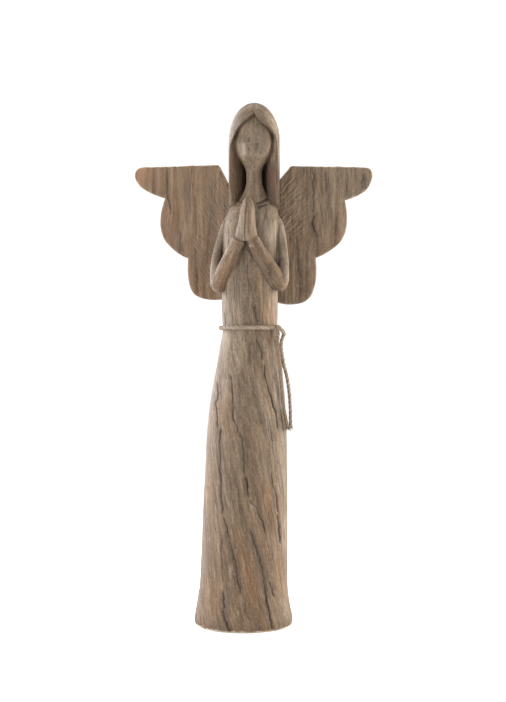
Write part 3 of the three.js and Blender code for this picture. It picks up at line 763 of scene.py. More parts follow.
# Softer marks: greyer, darker, warmer or paler, half width in pixels, strength, points; some darker ones are painted
# shade and many paler ones painted highlights, as noted
TONES = [
    ("stain", 3.4, 0.9, [(247.5, 520), (254, 540), (259, 556), (263, 578), (267, 602)]),
    ("stain", 2.6, 0.8, [(217.5, 428), (219, 440), (220.4, 458)]),
    ("stain", 2.0, 0.8, [(275, 484), (276.5, 498), (278.5, 512)]),
    ("stain", 6.0, 0.35, [(226, 474), (229, 490), (232, 506)]),
    ("stain", 3.2, 0.5, [(226.5, 584), (228, 612)]),
    ("stain", 3.0, 0.8, [(187, 168), (187.4, 203), (188.5, 226)]),
    ("stain", 2.6, 0.3, [(209, 170), (210, 199), (211, 222)]),
    ("stain", 3.0, 0.7, [(328, 171), (330.5, 200), (332, 228)]),
    ("stain", 2.8, 0.8, [(362.5, 170), (362, 192)]),
    ("stain", 2.2, 0.6, [(234, 285), (235.3, 305)]),
    ("stain", 2.8, 0.6, [(256, 305), (262, 350), (266, 385)]),
    ("stain", 3.0, 0.6, [(303, 270), (306, 285), (305, 298)]),
    ("stain", 2.6, 0.5, [(230, 360), (231, 385), (233, 420)]),
    ("shade", 4.0, 0.6, [(240.5, 426), (245, 445), (246.8, 460), (246.4, 474)]),
    ("shade", 2.6, 0.5, [(266.5, 425), (270, 442), (271.5, 458), (270, 472)]),
    ("shade", 2.2, 0.6, [(223, 494), (224.5, 505), (226, 518)]),
    ("shade", 2.4, 0.6, [(266, 598), (269, 612), (271.5, 628)]),
    ("shade", 2.6, 0.6, [(225, 600), (226.5, 614), (229, 629)]),
    ("shade", 4.0, 0.35, [(250, 340), (256, 360), (262, 380)]),
    ("shade", 3.0, 0.4, [(234, 376), (235, 400), (237, 424)]),
    ("shade", 3.6, 0.8, [(247, 262), (249, 282), (252, 302)]),
    ("shade", 3.0, 0.6, [(269, 262), (271, 278)]),
    ("shade", 3.2, 0.7, [(235, 127), (239.5, 117.5), (246, 109.5)]),
    ("shade", 1.8, 0.5, [(261.5, 110.5), (267.5, 119)]),
    # darker locks: darker tone, partly painted shade on their inner walls
    ("shade", 4.5, 0.5, [(231.5, 150), (231.5, 172), (232.5, 200)]),
    ("shade", 4.5, 0.95, [(275, 150), (275, 172), (274.5, 202)]),
    # darker marks along the wings' cracks
    ("shade", 2.6, 0.6, [(167, 168), (167.4, 190), (169.5, 208)]),
    ("shade", 2.0, 0.5, [(180.5, 226), (181, 254)]),
    ("shade", 2.6, 0.5, [(195.5, 240), (197, 290)]),
    ("shade", 3.4, 0.6, [(299, 170), (298, 186)]),
    ("shade", 3.0, 0.6, [(297, 236), (298.5, 262), (300, 298)]),
    ("shade", 13, 0.10, [(300, 178), (300, 296)]),
    ("shade", 12, 0.05, [(330, 178), (330, 240)]),
    ("shade", 2.2, 0.5, [(313, 200), (315, 236)]),
    ("warm", 7.0, 0.6, [(262, 484), (266, 500), (268, 516)]),
    ("warm", 6.5, 0.5, [(246, 564), (250, 584), (247, 600)]),
    ("warm", 6.0, 0.4, [(212, 578), (213, 614)]),
    ("warm", 5.0, 0.4, [(279, 556), (282, 604)]),
    ("warm", 5.0, 0.3, [(268, 305), (270, 322)]),
    ("warm", 9.0, 0.8, [(138, 172), (160, 175)]),
    ("warm", 7.0, 0.4, [(200, 172), (202, 186)]),
    ("warm", 6.0, 0.4, [(306, 172), (305, 190)]),
    ("warm", 6.0, 0.4, [(216, 284), (226, 262)]),
    ("warm", 4.5, 0.6, [(274, 170), (274, 197)]),
    ("shade", 9.0, 0.35, [(194, 185), (198, 240), (204, 290)]),
    ("shade", 10, 0.4, [(209, 183), (210, 216)]),
    ("warm", 5.0, 0.6, [(339, 214), (338, 226), (332, 240)]),
    ("warm", 4.0, 0.5, [(365, 171), (369, 178)]),
    ("warm", 5.0, 0.5, [(319, 252), (316, 262), (315, 282)]),
    ("warm", 5.0, 0.5, [(291, 268), (292, 293)]),
    ("stain", 6.0, 0.5, [(327, 204), (328, 230)]),
    ("stain", 3.4, 0.5, [(303, 270), (304, 292)]),
    # painted reflected light on the right wing beside the shoulder
    ("pale_and_highlight", 3.4, 0.45, [(286, 216), (288, 228), (288.5, 240)]),
    # painted shade on the middle of the trunk and on the neck
    ("shade", 9.0, 0.7, [(247, 258), (248.5, 322)]),
    ("shade", 8.0, 0.25, [(252, 176), (252, 194)]),
    # a paler mark on the lower gown
    ("pale_and_highlight", 3.0, 0.5, [(251, 502.5), (255.5, 509)]),
    # painted light: on the face, a painted highlight on the left cheek, on the arms, the chest's right, the right hand,
    # the gown's right edge and beside the twine's tails, in the gap beside the right arm, and on the hood's right side
    ("pale_and_highlight", 9.0, 0.34, [(253, 126), (253, 158)]),
    ("pale_and_highlight", 3.4, 0.95, [(242.6, 142), (242.6, 157)]),
    ("pale_and_highlight", 3.0, 0.75, [(281.5, 222), (282.5, 240), (282.5, 262)]),
    ("pale_and_highlight", 6.0, 0.65, [(263, 210), (266, 228), (270, 245)]),
    ("pale_and_highlight", 5.0, 0.35, [(231, 205), (229, 225), (227, 245)]),
    ("pale_and_highlight", 3.0, 0.4, [(252, 208), (252, 232)]),
    ("pale_and_highlight", 4.0, 0.95, [(272, 345), (273.5, 360), (275, 378)]),
    ("pale_and_highlight", 1.6, 0.7, [(275.6, 333), (275.4, 341)]),
    ("pale_and_highlight", 2.4, 0.9, [(276, 360), (277, 380), (277, 395), (279, 405), (280.5, 415)]),
    ("pale_and_highlight", 4.0, 0.45, [(284, 515), (284.5, 552)]),
    ("pale_and_highlight", 4.0, 0.3, [(285, 588), (285, 616)]),
    ("pale_and_highlight", 2.2, 1.0, [(279.6, 225), (279.3, 240), (278.8, 259)]),
    ("pale_and_highlight", 2.4, 0.25, [(279, 142), (279, 168)]),
    # painted shade on the hood's left side and under the chin
    ("shade", 4.5, 1.0, [(238.5, 116), (234, 129), (232.5, 142), (232.5, 156)]),
    ("shade", 3.4, 0.5, [(246, 166), (257, 166)]),
    # paler patches on the hood's top and right, and on the gown
    ("pale_and_highlight", 3.8, 0.8, [(246, 105.5), (254, 104.5), (263, 107)]),
    ("pale_and_highlight", 2.6, 0.45, [(266, 111), (272, 122)]),
    ("pale_and_highlight", 1.0, 0.6, [(230.8, 564), (231.6, 588)]),
    # painted highlight on the chest's left side beside the arm
    ("pale_and_highlight", 1.0, 0.9, [(225.8, 232), (225.2, 244), (224.6, 254)]),
    # paler marks on the gown
    ("pale_and_highlight", 1.2, 0.4, [(242, 432), (241, 446)]),
    ("pale_and_highlight", 1.2, 0.5, [(262, 338), (265.5, 352)]),
]


def near_line(q, pts):
    """Distance of pixels to a broken line, how far along it they come, from 0 to 1, and its length."""
    pts = np.asarray(pts, float)
    seg = np.linalg.norm(np.diff(pts, axis=0), axis=1)
    run = np.concatenate([[0], np.cumsum(seg)])
    best, along = np.full(len(q), 1e9), np.zeros(len(q))
    for i in range(len(seg)):
        e = pts[i + 1] - pts[i]
        w = q - pts[i]
        t = np.clip(w @ e / (e @ e), 0, 1)
        d = np.linalg.norm(w - t[:, None] * e, axis=1)
        m = d < best
        best[m], along[m] = d[m], ((run[i] + t * seg[i]) / run[-1])[m]
    return best, along, run[-1]


def marks(p, facing):
    """Depth and darkness of the cracks and lines, some of them painted shadow, and strength of the softer marks, some
    of them painted shade and highlights, for points that face the front.
    """
    px = picture(p)
    q, soft = px.copy(), px.copy()
    flat = np.zeros(len(p))
    q[:, 0] += 1.1 * noise(np.c_[px / (12, 10), flat], 41) + 0.75 * noise(np.c_[px / (6, 5), flat], 42) + 0.35 * noise(np.c_[px / 2.4, flat], 44)
    soft[:, 0] += 3.0 * noise(np.c_[px / (9, 24), flat], 46)
    depth, dark = np.zeros(len(p)), np.zeros(len(p))
    tones = {k: np.zeros(len(p)) for k in ("stain", "shade", "warm", "pale_and_highlight")}
    front = fade(facing, 0.05, 0.3)
    for k, (half, deep, tone, pts) in enumerate(CRACKS + LINES):
        a = np.asarray(pts)
        line = k >= len(CRACKS)
        m = np.all((px > a.min(0) - 14) & (px < a.max(0) + 14), axis=1)
        if not m.any():
            continue
        d, t, run = near_line(px[m] if line else q[m], pts)
        ends = np.minimum(t, 1 - t) * run if a[-1, 1] < 626 else t * run
        ends = fade(ends, 0, 2.0 if line else min(6.0, run * 0.22))
        if line:
            core = np.exp(-((d / (half * (0.5 + 0.5 * ends))) ** 2)) * ends * front[m]
            halo = hair = 0 * core
        else:
            key = flat[m] + 3.7 * k
            uneven = 0.88 + 0.55 * noise(np.c_[t * run / 6.0, key, flat[m]], 43)
            strong = 0.72 + 0.28 * fade(noise(np.c_[t * run / 15.0, key, flat[m]], 45), -0.4, 0.2)
            core = np.exp(-((d / (half * (0.5 + 0.5 * ends) * np.maximum(uneven, 0.2))) ** 2)) * ends * front[m] * np.clip(0.35 + uneven, 0, 1) * strong
            # a shallow valley beside the crack, with painted shade in it
            halo = np.exp(-((d / (3.4 * half + 0.9)) ** 2)) * ends * front[m]
            # a finer split that goes along beside it for a while
            beside = (1.9 if k % 2 else -1.9) + noise(np.c_[px[m] / (30, 16), flat[m]], 47)
            side, _, _ = near_line(q[m] + np.c_[beside, flat[m]], pts)
            hair = np.exp(-((side / 0.45) ** 2)) * ends * front[m] * fade(noise(np.c_[t * run / 9.0, key + 1.3, flat[m]], 48), 0.0, 0.4)
        depth[m] = np.maximum(depth[m], core * deep + (halo * 0.25 + hair * 0.2) * deep)
        dark[m] = np.maximum(dark[m], np.maximum(core, hair * 0.45) * tone + halo * 0.24 * tone)
    for kind, half, tone, pts in TONES:
        a = np.asarray(pts)
        m = np.all((px > a.min(0) - 3 * half - 4) & (px < a.max(0) + 3 * half + 4), axis=1)
        if not m.any():
            continue
        d, t, run = near_line(soft[m], pts)
        broken = np.clip(0.75 + 0.6 * noise(np.c_[px[m] / (3.0, 16), flat[m]], 49), 0, 1.2)
        tones[kind][m] = np.maximum(tones[kind][m], np.exp(-((d / half) ** 2)) * (0.35 + 0.65 * fade(np.minimum(t, 1 - t), 0, 0.2)) * front[m] * tone * broken)
    return depth, np.minimum(dark, 1), tones


# Strokes like barbs beside the gown's cracks, in the picture: middle, half sizes, slope in degrees, gap, strength
BARBS = [
    (277, 572, 11, 26, 36, 2.3, 1.0), (248, 574, 10, 20, 42, 2.3, 0.9), (263, 520, 8, 18, -62, 2.4, 0.7),
    (256, 400, 12, 34, 52, 2.2, 0.7), (266, 452, 9, 24, -58, 2.3, 0.7), (232, 455, 8, 34, 60, 2.4, 0.6),
    (241, 345, 12, 14, 58, 2.2, 0.6), (263, 228, 8, 24, 62, 2.2, 0.6), (258, 620, 14, 10, 35, 2.2, 0.6),
]
RELIEF = {"body": 1.0, "hair": 0.7, "hands": 0.25, "wing_left": 1.0, "wing_right": 1.0, "upper_left": 0.5, "upper_right": 0.5, "fore_left": 0.5, "fore_right": 0.5}


SOFT = np.array([{"wing_left": 0.55, "wing_right": 0.2, "hair": 0.45}.get(k, 0.22) for k in KEYS])  # how much the fine lines are worn off


def relief(p, n, which):
    """Height of the weathered surface over the smooth form, with what colours it."""
    g = grain_of(p, which)
    rough = np.array([RELIEF[k] for k in KEYS])[which]
    x, y, z = p.T
    rough = rough * np.where(which == 0, 1 - 0.55 * fade(z, 402, 410) - 0.2 * fade(z, 436, 446), 1.0)  # neck and face are smoother
    under = fade(n[:, 2], -0.8, -0.6)  # the flat foot stays flat
    facing = n @ -CAM_AHEAD
    across = g[:, :2] + 1.6 * np.stack([noise(np.c_[g[:, :2] / 14, g[:, 2] / 45], 11), noise(np.c_[g[:, :2] / 14, g[:, 2] / 45], 12)], 1)
    across += 0.5 * np.stack([noise(np.c_[g[:, :2] / 5, g[:, 2] / 14], 13), noise(np.c_[g[:, :2] / 5, g[:, 2] / 14], 14)], 1)
    broad = noise(np.c_[across / 13, g[:, 2] / 150], 1)
    mid = noise(np.c_[across / 4.2, g[:, 2] / 50], 2)
    fine = noise(np.c_[across / 1.9, g[:, 2] / 22], 3)
    h = (0.50 * broad + 0.26 * mid + 0.13 * fine) * rough
    # fissures: thin lines where a stretched noise passes zero, broken into short lengths
    line = noise(np.c_[across / 7.0, g[:, 2] / 95], 4)
    where = fade(noise(np.c_[across / 9, g[:, 2] / 30], 5), 0.06, 0.5)
    fissure = np.exp(-((line / 0.05) ** 2)) * where * rough
    # short nicks along the hair
    nick = fade(noise(np.c_[across / 1.7, g[:, 2] / 6.5], 31), 0.22, 0.6) * np.where(which == KEYS.index("hair"), 1.0, 0.25) * fade(noise(np.c_[across / 8, g[:, 2] / 14], 32), -0.25, 0.3)
    h = h - 0.16 * nick
    # wider cracks on the sides and the back
    line = noise(np.c_[across / 15, g[:, 2] / 230], 6)
    where = fade(noise(np.c_[across / 16, g[:, 2] / 60], 7), 0.0, 0.3) * fade(facing, 0.35, 0.0)
    crack = np.exp(-((line / 0.045) ** 2)) * where * rough
    h = h - 0.35 * fissure - 1.0 * crack
    # barbs carved in the wings, from low and inside to high and outside
    for key, steep, gap, lo_u, hi_u, lo_z, hi_z, strength in (("wing_left", 55, 2.9, 22, 58, 314, 434, 1.5), ("wing_right", 41, 4.2, 22, 50, 366, 436, 2.5)):
        m = which == KEYS.index(key)
        if not m.any():
            continue
        u, _ = wing_uvw(WINGS[key[5:]]["side"], x[m], y[m])
        a = math.radians(steep)
        flat = u * 0
        s = u * math.sin(a) - z[m] * math.cos(a)
        t = u * math.cos(a) + z[m] * math.sin(a)
        bent = s + 2.2 * noise(np.c_[u / 17, z[m] / 17, flat], 21) + 0.7 * noise(np.c_[u / 5, z[m] / 6, flat], 23)
        stroke = 0.5 * np.sin(2 * np.pi * bent / gap) * fade(noise(np.c_[bent / (gap * 0.9), t / 12, flat], 22), -0.3, 0.35) + 1.1 * noise(np.c_[bent / (gap * 0.45), t / 10, flat], 24)
        area = fade(u, lo_u - 6, lo_u + 3) * fade(u, hi_u + 10, hi_u - 8) * fade(z[m], lo_z, lo_z + 16) * fade(z[m], hi_z, hi_z - 8)
        h[m] = h[m] * (1 - 0.2 * area) + 0.17 * strength * area * stroke
        fine[m] = fine[m] * (1 - 0.2 * area) + 0.30 * strength * area * stroke
    px = picture(p)
    for cx, cy, rx, ry, slope, gap, strength in BARBS:
        m = (which == 0) & (facing > 0.1) & (np.abs(px[:, 0] - cx) < 2.2 * rx) & (np.abs(px[:, 1] - cy) < 2.2 * ry)
        if not m.any():
            continue
        q, a, flat = px[m], math.radians(slope), np.zeros(m.sum())
        s, t = q[:, 0] * math.sin(a) + q[:, 1] * math.cos(a), q[:, 0] * math.cos(a) - q[:, 1] * math.sin(a)
        s = s + 1.6 * noise(np.c_[q / 14, flat], 25)
        area = np.exp(-(((q[:, 0] - cx) / rx) ** 2) - ((q[:, 1] - cy) / ry) ** 2) * strength * fade(facing[m], 0.1, 0.5)
        stroke = noise(np.c_[s / (gap * 0.5), t / 9, flat], 26)
        h[m] += 0.14 * area * stroke
        fine[m] = fine[m] * (1 - 0.3 * area) + 0.55 * area * stroke
    depth, dark, tones = marks(p, facing)
    h = h - depth
    # the locks' outer sides get painted shade, standing in for the wings' shadow on them, and the right lock is darker
    # all over
    lock = np.where(which == KEYS.index("hair"), 1.0, 0.0) * fade(z + np.where(x > HAIR_X, 12, 0), 474, 444)
    tones["shade"] = np.maximum(tones["shade"], lock * (np.where(x > HAIR_X, 0.85, 0.06) + 0.45 * fade(np.abs(n[:, 0]), 0.5, 0.85)))
    # a chip out of the rim of the foot at the left
    chip = np.exp(-(((px[:, 0] - 199) / 4.5) ** 2) - ((px[:, 1] - 625.5) / 2.4) ** 2) * fade(facing, 0, 0.25)
    h = h - 1.8 * chip * (1 + 0.7 * mid)
    low = np.where(which == 0, fade(z, 300, 0), 0.0)  # darker and warmer low on the gown, on the sleeves, the locks and the wings' lower parts
    low = np.where(np.char.startswith(np.array(KEYS), "fore")[which], 0.8, np.where(np.char.startswith(np.array(KEYS), "wing")[which], 0.5 * fade(z, 425, 330), low))
    low = np.maximum(low, lock)
    low = np.maximum(low, np.where((which == 0) & (z > 436), 0.28, 0.0))
    low = low + np.where(which == KEYS.index("wing_left"), 0.38, 0.0)
    tones["warm"] = tones["warm"] + np.where(which == KEYS.index("wing_left"), 0.28, np.where(which == KEYS.index("wing_right"), 0.08, 0.0)) + lock * np.where(x > HAIR_X, 0.6, 0.25)
    tones["pale_and_highlight"] = np.maximum(tones["pale_and_highlight"], np.where(which == KEYS.index("wing_right"), 0.05, 0.0))
    # more painted shade on the locks' outer sides, and the right lock a little darker
    dark = np.maximum(dark, lock * np.maximum(0.3 * fade(np.abs(n[:, 0]), 0.55, 0.85), np.where(x > HAIR_X, 0.12, 0.0)))
    foot_rim_wear_and_light = fade(z + 0.6 * mid + 0.4 * fine, 2.0, 0.8)  # the rim of the foot is painted pale: rubbed wear, and painted light against the shade where it stands on the floor
    return h * under, g, dict(dark=np.maximum(dark, np.maximum(np.maximum(0.4 * fissure, 0.45 * nick), 0.8 * crack)), low=low, soft=np.where((which == 0) & (z > 436), 0.35, SOFT[which]) + 0.25 * fade(x, -80, -90), relief=0.5 + 0.25 * (mid + fine) * (1 - 0.6 * fade(x, -80, -90)), foot_rim_wear_and_light=foot_rim_wear_and_light, **tones)


def lesser(name, verts, faces, most):
    """Mesh with at most this many triangles, with larger faces where the surface is plain."""
    raw = bpy.data.meshes.new("raw")
    raw.from_pydata((verts * MM).tolist(), [], faces.tolist())
    raw.update()
    shell = bpy.data.objects.new("raw", raw)
    bpy.context.collection.objects.link(shell)
    mod = shell.modifiers.new("fewer", "DECIMATE")
    mod.ratio = min(1.0, most / (2 * len(faces)))
    bpy.context.view_layer.update()
    me = bpy.data.meshes.new_from_object(shell.evaluated_get(bpy.context.evaluated_depsgraph_get()))
    bpy.data.objects.remove(shell)
    bpy.data.meshes.remove(raw)
    me.name = name
    me.validate()
    return me


def make_skin(name, field, forms, side, most):
    """Weathered piece of the figure; side is a wing's, for points in a wing's own coordinates."""
    verts, faces = surface(field.f, field.lo, field.h)
    normal = field.slope(verts)
    verts = verts - normal * np.clip(field.at(verts), -0.4, 0.4)[:, None]
    normal = field.slope(verts)

    def place(v, n):
        if side:
            v, n = wing_way(side, v), wing_way(side, n, True)
            which = np.full(len(v), KEYS.index("wing_left" if side < 0 else "wing_right"))
        else:
            which = belongs(v, forms)
        return v, n, which

    p, n, which = place(verts, normal)
    height, _, _ = relief(p, n, which)
    p = p + n * height[:, None]
    p[:, 2] = np.maximum(p[:, 2], 0)
    if side == -1:
        faces = faces[:, ::-1]
    me = lesser(name, p, faces, most)
    co = np.empty(len(me.vertices) * 3, np.float32)
    me.vertices.foreach_get("co", co)
    p = co.reshape(-1, 3).astype(float) / MM
    if side:
        u, w = wing_uvw(side, p[:, 0], p[:, 1])
        own = np.stack([u, w, p[:, 2]], 1)
    else:
        own = p
    normal = field.slope(own)
    _, n, which = place(own, normal)
    _, grain, tone = relief(p, n, which)
    # how open or sheltered a point is, from the smooth form a few millimetres out; sheltered points get painted shade
    open_sky = np.mean([np.clip(field.at(own + normal * r) / r, -0.2, 1) for r in (2.5, 5.0)], axis=0)
    tone["painted_recess_shade"] = np.clip(1.02 - open_sky, 0, 1)
    # the wings' rims are painted paler: partly rubbed wear, partly a painted highlight, which is strongest on the top
    # and inner rims
    tone["edge"] = np.zeros(len(p))
    if side:
        rim = fade(outlines["left" if side < 0 else "right"].at(u, p[:, 2]), -2.4, -0.5)
        rim = rim * np.maximum(fade(w, 3.6, 1.0), fade(w, WING_T - 3.6, WING_T - 1.0))
        tone["edge"] = rim * np.clip(0.75 + 0.45 * noise(p / 5.0, 51), 0, 1) * (0.25 + 0.75 * np.maximum(fade(p[:, 2], 430, 437), fade(np.abs(p[:, 0] - 9.2), 44, 36) * fade(p[:, 2], 414, 420)))
    put_attributes(me, {"grain": grain * 0.1}, tone)
    me.shade_smooth()
    o = bpy.data.objects.new(name, me)
    bpy.context.collection.objects.link(o)
    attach(o, "root")
    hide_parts("angel_figure")
    print(name, "triangles", sum(len(f.vertices) - 2 for f in me.polygons))
    return o


VOXEL = 0.62
gown_field = Field(GOWN.values(), (-50.0, -50.0, -4.0), (52.0, 50.0, 287.0), VOXEL * 1.05)
gown_field.f = np.maximum(gown_field.f, gown_field.axes[2][None, None, :] - 284.9)
upper_field = Field([*UPPER.values(), *WEBS], (-37.0, -40.0, 280.0), (51.0, 28.0, 503.0), VOXEL)
top_z = upper_field.axes[2][None, None, :]
upper_field.f = np.maximum(upper_field.f + 0.6 * fade(top_z, 285.4, 284.4), 282.9 - top_z)
figure = [make_skin("angel_gown", gown_field, GOWN, 0, 196000), make_skin("angel_upper", upper_field, UPPER, 0, 196000)]
del gown_field, upper_field
for key, w in WINGS.items():
    f = Field([(d_wing(key), (-8, -2, 300), (128, 16, 450), 0)], (-7.0, -4.0, 300.0), (126.0, 17.5, 449.0), VOXEL)
    figure.append(make_skin("angel_wing_" + key, f, None, w["side"], 110000))


# ------------------------------------------------------------------------------------------ materials
class Nodes:
    def __init__(self, name):
        self.mat = bpy.data.materials.new(name)
        self.mat.use_nodes = True
        self.t = self.mat.node_tree
        self.t.nodes.clear()

    def node(self, kind, **values):
        n = self.t.nodes.new("ShaderNode" + kind)
        for k, v in values.items():
            setattr(n, k, v)
        return n

    def set(self, sock, v):
        if isinstance(v, bpy.types.NodeSocket):
            self.t.links.new(v, sock)
        elif v is not None:
            sock.default_value = v

    def attr(self, name, out="Fac"):
        return self.node("Attribute", attribute_name=name).outputs[out]

    def math(self, op, a, b=None, c=None, clamp=False):
        n = self.node("Math", operation=op, use_clamp=clamp)
        for i, v in enumerate((a, b, c)):
            self.set(n.inputs[i], v)
        return n.outputs[0]

    def vscale(self, v, xyz):
        n = self.node("VectorMath", operation="MULTIPLY")
        self.set(n.inputs[0], v)
        n.inputs[1].default_value = xyz
        return n.outputs[0]

    def noise(self, vec, scale, detail=2.0, rough=0.5, distort=0.0):
        n = self.node("TexNoise")
        self.set(n.inputs["Vector"], vec)
        n.inputs["Scale"].default_value = scale
        n.inputs["Detail"].default_value = detail
        n.inputs["Roughness"].default_value = rough
        n.inputs["Distortion"].default_value = distort
        return n.outputs["Fac"]

    def span(self, v, a, b, c=0.0, d=1.0):
        n = self.node("MapRange", interpolation_type="SMOOTHSTEP")
        self.set(n.inputs[0], v)
        for i, k in enumerate((a, b, c, d)):
            n.inputs[1 + i].default_value = k
        return n.outputs[0]

    def ramp(self, v, stops):
        n = self.node("ValToRGB")
        self.set(n.inputs[0], v)
        e = n.color_ramp.elements
        while len(e) < len(stops):
            e.new(0.5)
        for el, (pos, col) in zip(e, stops):
            el.position, el.color = pos, (*col, 1)
        return n.outputs[0]

    def mix(self, fac, a, b, mode="MIX"):
        n = self.node("Mix", data_type="RGBA", blend_type=mode)
        self.set(n.inputs[0], fac)
        for sock, v in ((n.inputs[6], a), (n.inputs[7], b)):
            self.set(sock, (*v, 1) if isinstance(v, tuple) else v)
        return n.outputs[2]

    def finish(self, colour, rough, bumps, spec=0.35):
        b = self.node("BsdfPrincipled")
        self.set(b.inputs["Base Color"], colour)
        self.set(b.inputs["Roughness"], rough)
        b.inputs["Specular IOR Level"].default_value = spec
        normal = None
        for height, strength, distance in bumps:
            n = self.node("Bump")
            n.inputs["Strength"].default_value = strength
            n.inputs["Distance"].default_value = distance
            self.set(n.inputs["Height"], height)
            if normal is not None:
                self.set(n.inputs["Normal"], normal)
            normal = n.outputs[0]
        self.set(b.inputs["Normal"], normal)
        out = self.node("OutputMaterial")
        self.t.links.new(b.outputs[0], out.inputs[0])
        return self.mat


def srgb(r, g, b):
    return tuple(c / 12.92 if c <= 0.04045 else ((c + 0.055) / 1.055) ** 2.4 for c in (r / 255, g / 255, b / 255))


WOOD_TINT = (1.05, 1.125, 1.20)


def wood_tone(r, g, b):
    return tuple(c * k for c, k in zip(srgb(r, g, b), WOOD_TINT))


m = Nodes("weathered_wood")
grain_v = m.attr("grain", "Vector")  # in centimetres
streak = m.noise(m.vscale(grain_v, (1.0, 1.0, 0.08)), 1.5, 4.0, 0.62, 0.5)
lines = m.noise(m.vscale(grain_v, (1.0, 1.0, 0.17)), 5.0, 4.0, 0.66, 0.5)
hairs = m.noise(m.vscale(grain_v, (1.0, 1.0, 0.30)), 11.0, 3.0, 0.7, 0.4)
speck = m.noise(m.vscale(grain_v, (1.0, 1.0, 0.6)), 8.0, 3.0, 0.7)
patch = m.noise(m.vscale(grain_v, (1.0, 1.0, 0.3)), 0.30, 2.0, 0.5)
patch2 = m.noise(m.vscale(grain_v, (1.3, 1.3, 0.22)), 0.55, 2.0, 0.5)
wood = m.ramp(streak, [(0.28, wood_tone(70, 55, 42)), (0.44, wood_tone(92, 75, 58)), (0.56, wood_tone(102, 84, 65)), (0.74, wood_tone(122, 103, 83))])
wood = m.mix(m.span(patch, 0.42, 0.66, 0, 0.55), wood, m.mix(1.0, wood, srgb(255, 233, 213), "MULTIPLY"))
wood = m.mix(m.span(patch2, 0.54, 0.70, 0, 0.4), wood, wood_tone(97, 84, 73))
wood = m.mix(m.attr("low"), wood, m.mix(1.0, wood, (0.80, 0.69, 0.575), "MULTIPLY"))
wood = m.mix(m.attr("warm"), wood, m.mix(1.0, wood, (1.28, 1.06, 0.91), "MULTIPLY"))
# darker tone, partly painted shade
wood = m.mix(m.math("MULTIPLY", m.attr("shade"), 0.6), wood, wood_tone(56, 42, 31))
# paler tone, partly painted highlights
wood = m.mix(m.math("MULTIPLY", m.attr("pale_and_highlight"), 0.6), wood, wood_tone(158, 140, 122))
calm = wood
wood = m.mix(m.span(lines, 0.50, 0.30, 0, 0.72), wood, wood_tone(52, 39, 29))
wood = m.mix(m.span(lines, 0.53, 0.72, 0, 0.46), wood, wood_tone(134, 115, 95))
wood = m.mix(m.span(hairs, 0.48, 0.30, 0, 0.60), wood, wood_tone(55, 42, 31))
wood = m.mix(m.span(speck, 0.54, 0.72, 0, 0.50), wood, wood_tone(138, 120, 100))
wood = m.mix(m.span(speck, 0.47, 0.30, 0, 0.50), wood, wood_tone(60, 47, 36))
wood = m.mix(m.attr("soft"), wood, calm)
wood = m.mix(m.span(m.attr("relief"), 0.46, 0.18, 0, 0.5), wood, wood_tone(60, 46, 35))
wood = m.mix(m.span(m.attr("relief"), 0.58, 0.80, 0, 0.32), wood, wood_tone(128, 109, 89))
wood = m.mix(m.math("MULTIPLY", m.attr("stain"), 0.6), wood, wood_tone(66, 55, 46))
# paler wing rims: rubbed wear and a painted highlight
wood = m.mix(m.span(m.attr("edge"), 0.30, 0.85, 0, 0.55), wood, wood_tone(164, 136, 106))
# painted shade in recesses
wood = m.mix(m.span(m.attr("painted_recess_shade"), 0.30, 0.95, 0, 0.30), wood, wood_tone(50, 37, 27))
# pale foot rim: rubbed wear and painted light
wood = m.mix(m.math("MULTIPLY", m.attr("foot_rim_wear_and_light"), 0.7), wood, wood_tone(190, 170, 146))
# dark cracks and carved lines, with the painted shadows and shade from the lines and on the locks
wood = m.mix(m.math("MULTIPLY", m.attr("dark"), 0.85), wood, wood_tone(36, 26, 19))
rough = m.span(lines, 0.3, 0.7, 0.74, 0.60)
wood_mat = m.finish(wood, rough, [(lines, 0.3, 0.0005), (hairs, 0.22, 0.00025)], 0.25)
for o in figure:
    o.data.materials.append(wood_mat)

m = Nodes("twine")
lay = m.attr("lay", "Vector")
fib = m.noise(m.vscale(lay, (1.0, 1.0, 1.0)), 3.2, 3.0, 0.65)
tint = m.noise(m.vscale(lay, (0.3, 0.5, 1.0)), 0.9, 2.0, 0.5)
col = m.ramp(tint, [(0.3, srgb(111, 97, 84)), (0.52, srgb(129, 114, 100)), (0.72, srgb(145, 131, 115))])
col = m.mix(m.span(fib, 0.5, 0.28, 0, 0.5), col, srgb(80, 67, 55))
col = m.mix(m.span(fib, 0.54, 0.75, 0, 0.5), col, srgb(156, 141, 125))
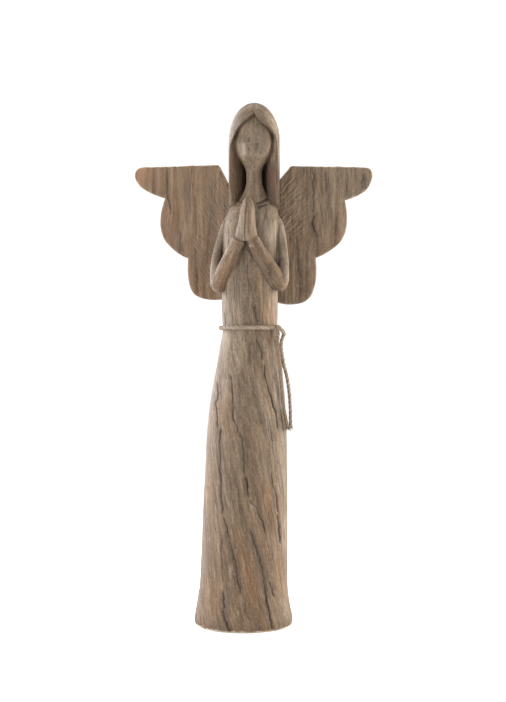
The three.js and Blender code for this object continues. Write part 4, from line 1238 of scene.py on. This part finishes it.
# painted shade darkens the front tail strongly; the belt is darkened a little, the side tail not
col = m.mix(m.attr("darkening_and_painted_shade"), col, m.mix(1.0, col, (0.68, 0.62, 0.56), "MULTIPLY"))
twine_mat = m.finish(col, 0.92, [(fib, 0.6, 0.0005)], 0.2)
for o in twines:
    o.data.materials.append(twine_mat)

# ------------------------------------------------------------------------------------------ studio
m = Nodes("floor")
fl = m.mix(m.noise(m.node("TexCoord").outputs["Object"], 3.0, 2.0), (0.92, 0.92, 0.92), (0.94, 0.94, 0.94))
floor_mat = m.finish(fl, 0.9, [], 0.2)
me = bpy.data.meshes.new("floor")
me.from_pydata([(-12, -12, 0), (12, -12, 0), (12, 12, 0), (-12, 12, 0)], [], [(0, 1, 2, 3)])
me.materials.append(floor_mat)
floor = bpy.data.objects.new("floor", me)
bpy.context.collection.objects.link(floor)

world = bpy.data.worlds.new("studio")
bpy.context.scene.world = world
world.use_nodes = True
world.node_tree.nodes["Background"].inputs[0].default_value = (1, 1, 1, 1)
world.node_tree.nodes["Background"].inputs[1].default_value = 1.1


def area(name, az, dist, height, size, power, colour):
    """Light at an angle round the figure from its front, positive to the right."""
    d = bpy.data.lights.new(name, "AREA")
    d.shape, d.size, d.size_y, d.energy, d.color = "RECTANGLE", size[0], size[1], power, colour
    o = bpy.data.objects.new(name, d)
    bpy.context.collection.objects.link(o)
    o.location = (dist * math.sin(math.radians(az)), -dist * math.cos(math.radians(az)), height)
    o.rotation_mode = "QUATERNION"
    o.rotation_quaternion = (Vector((0, 0, 0.27)) - o.location).to_track_quat("-Z", "Y")


area("left_front", -54, 1.2, 0.50, (0.30, 0.5), 11.0, (0.96, 0.98, 1.0))
area("left_side", -104, 1.2, 0.75, (0.5, 0.9), 21.5, (0.91, 0.955, 1.05))
area("left_back", -128, 1.2, 0.65, (0.6, 1.0), 18, (0.91, 0.955, 1.05))
area("right_side", 93, 1.2, 0.46, (0.5, 1.2), 20.3, (1.0, 0.96, 0.87))
area("right_back", 120, 1.2, 0.5, (0.6, 1.2), 21.0, (1.0, 0.945, 0.84))
bpy.context.scene.view_settings.view_transform = "Standard"
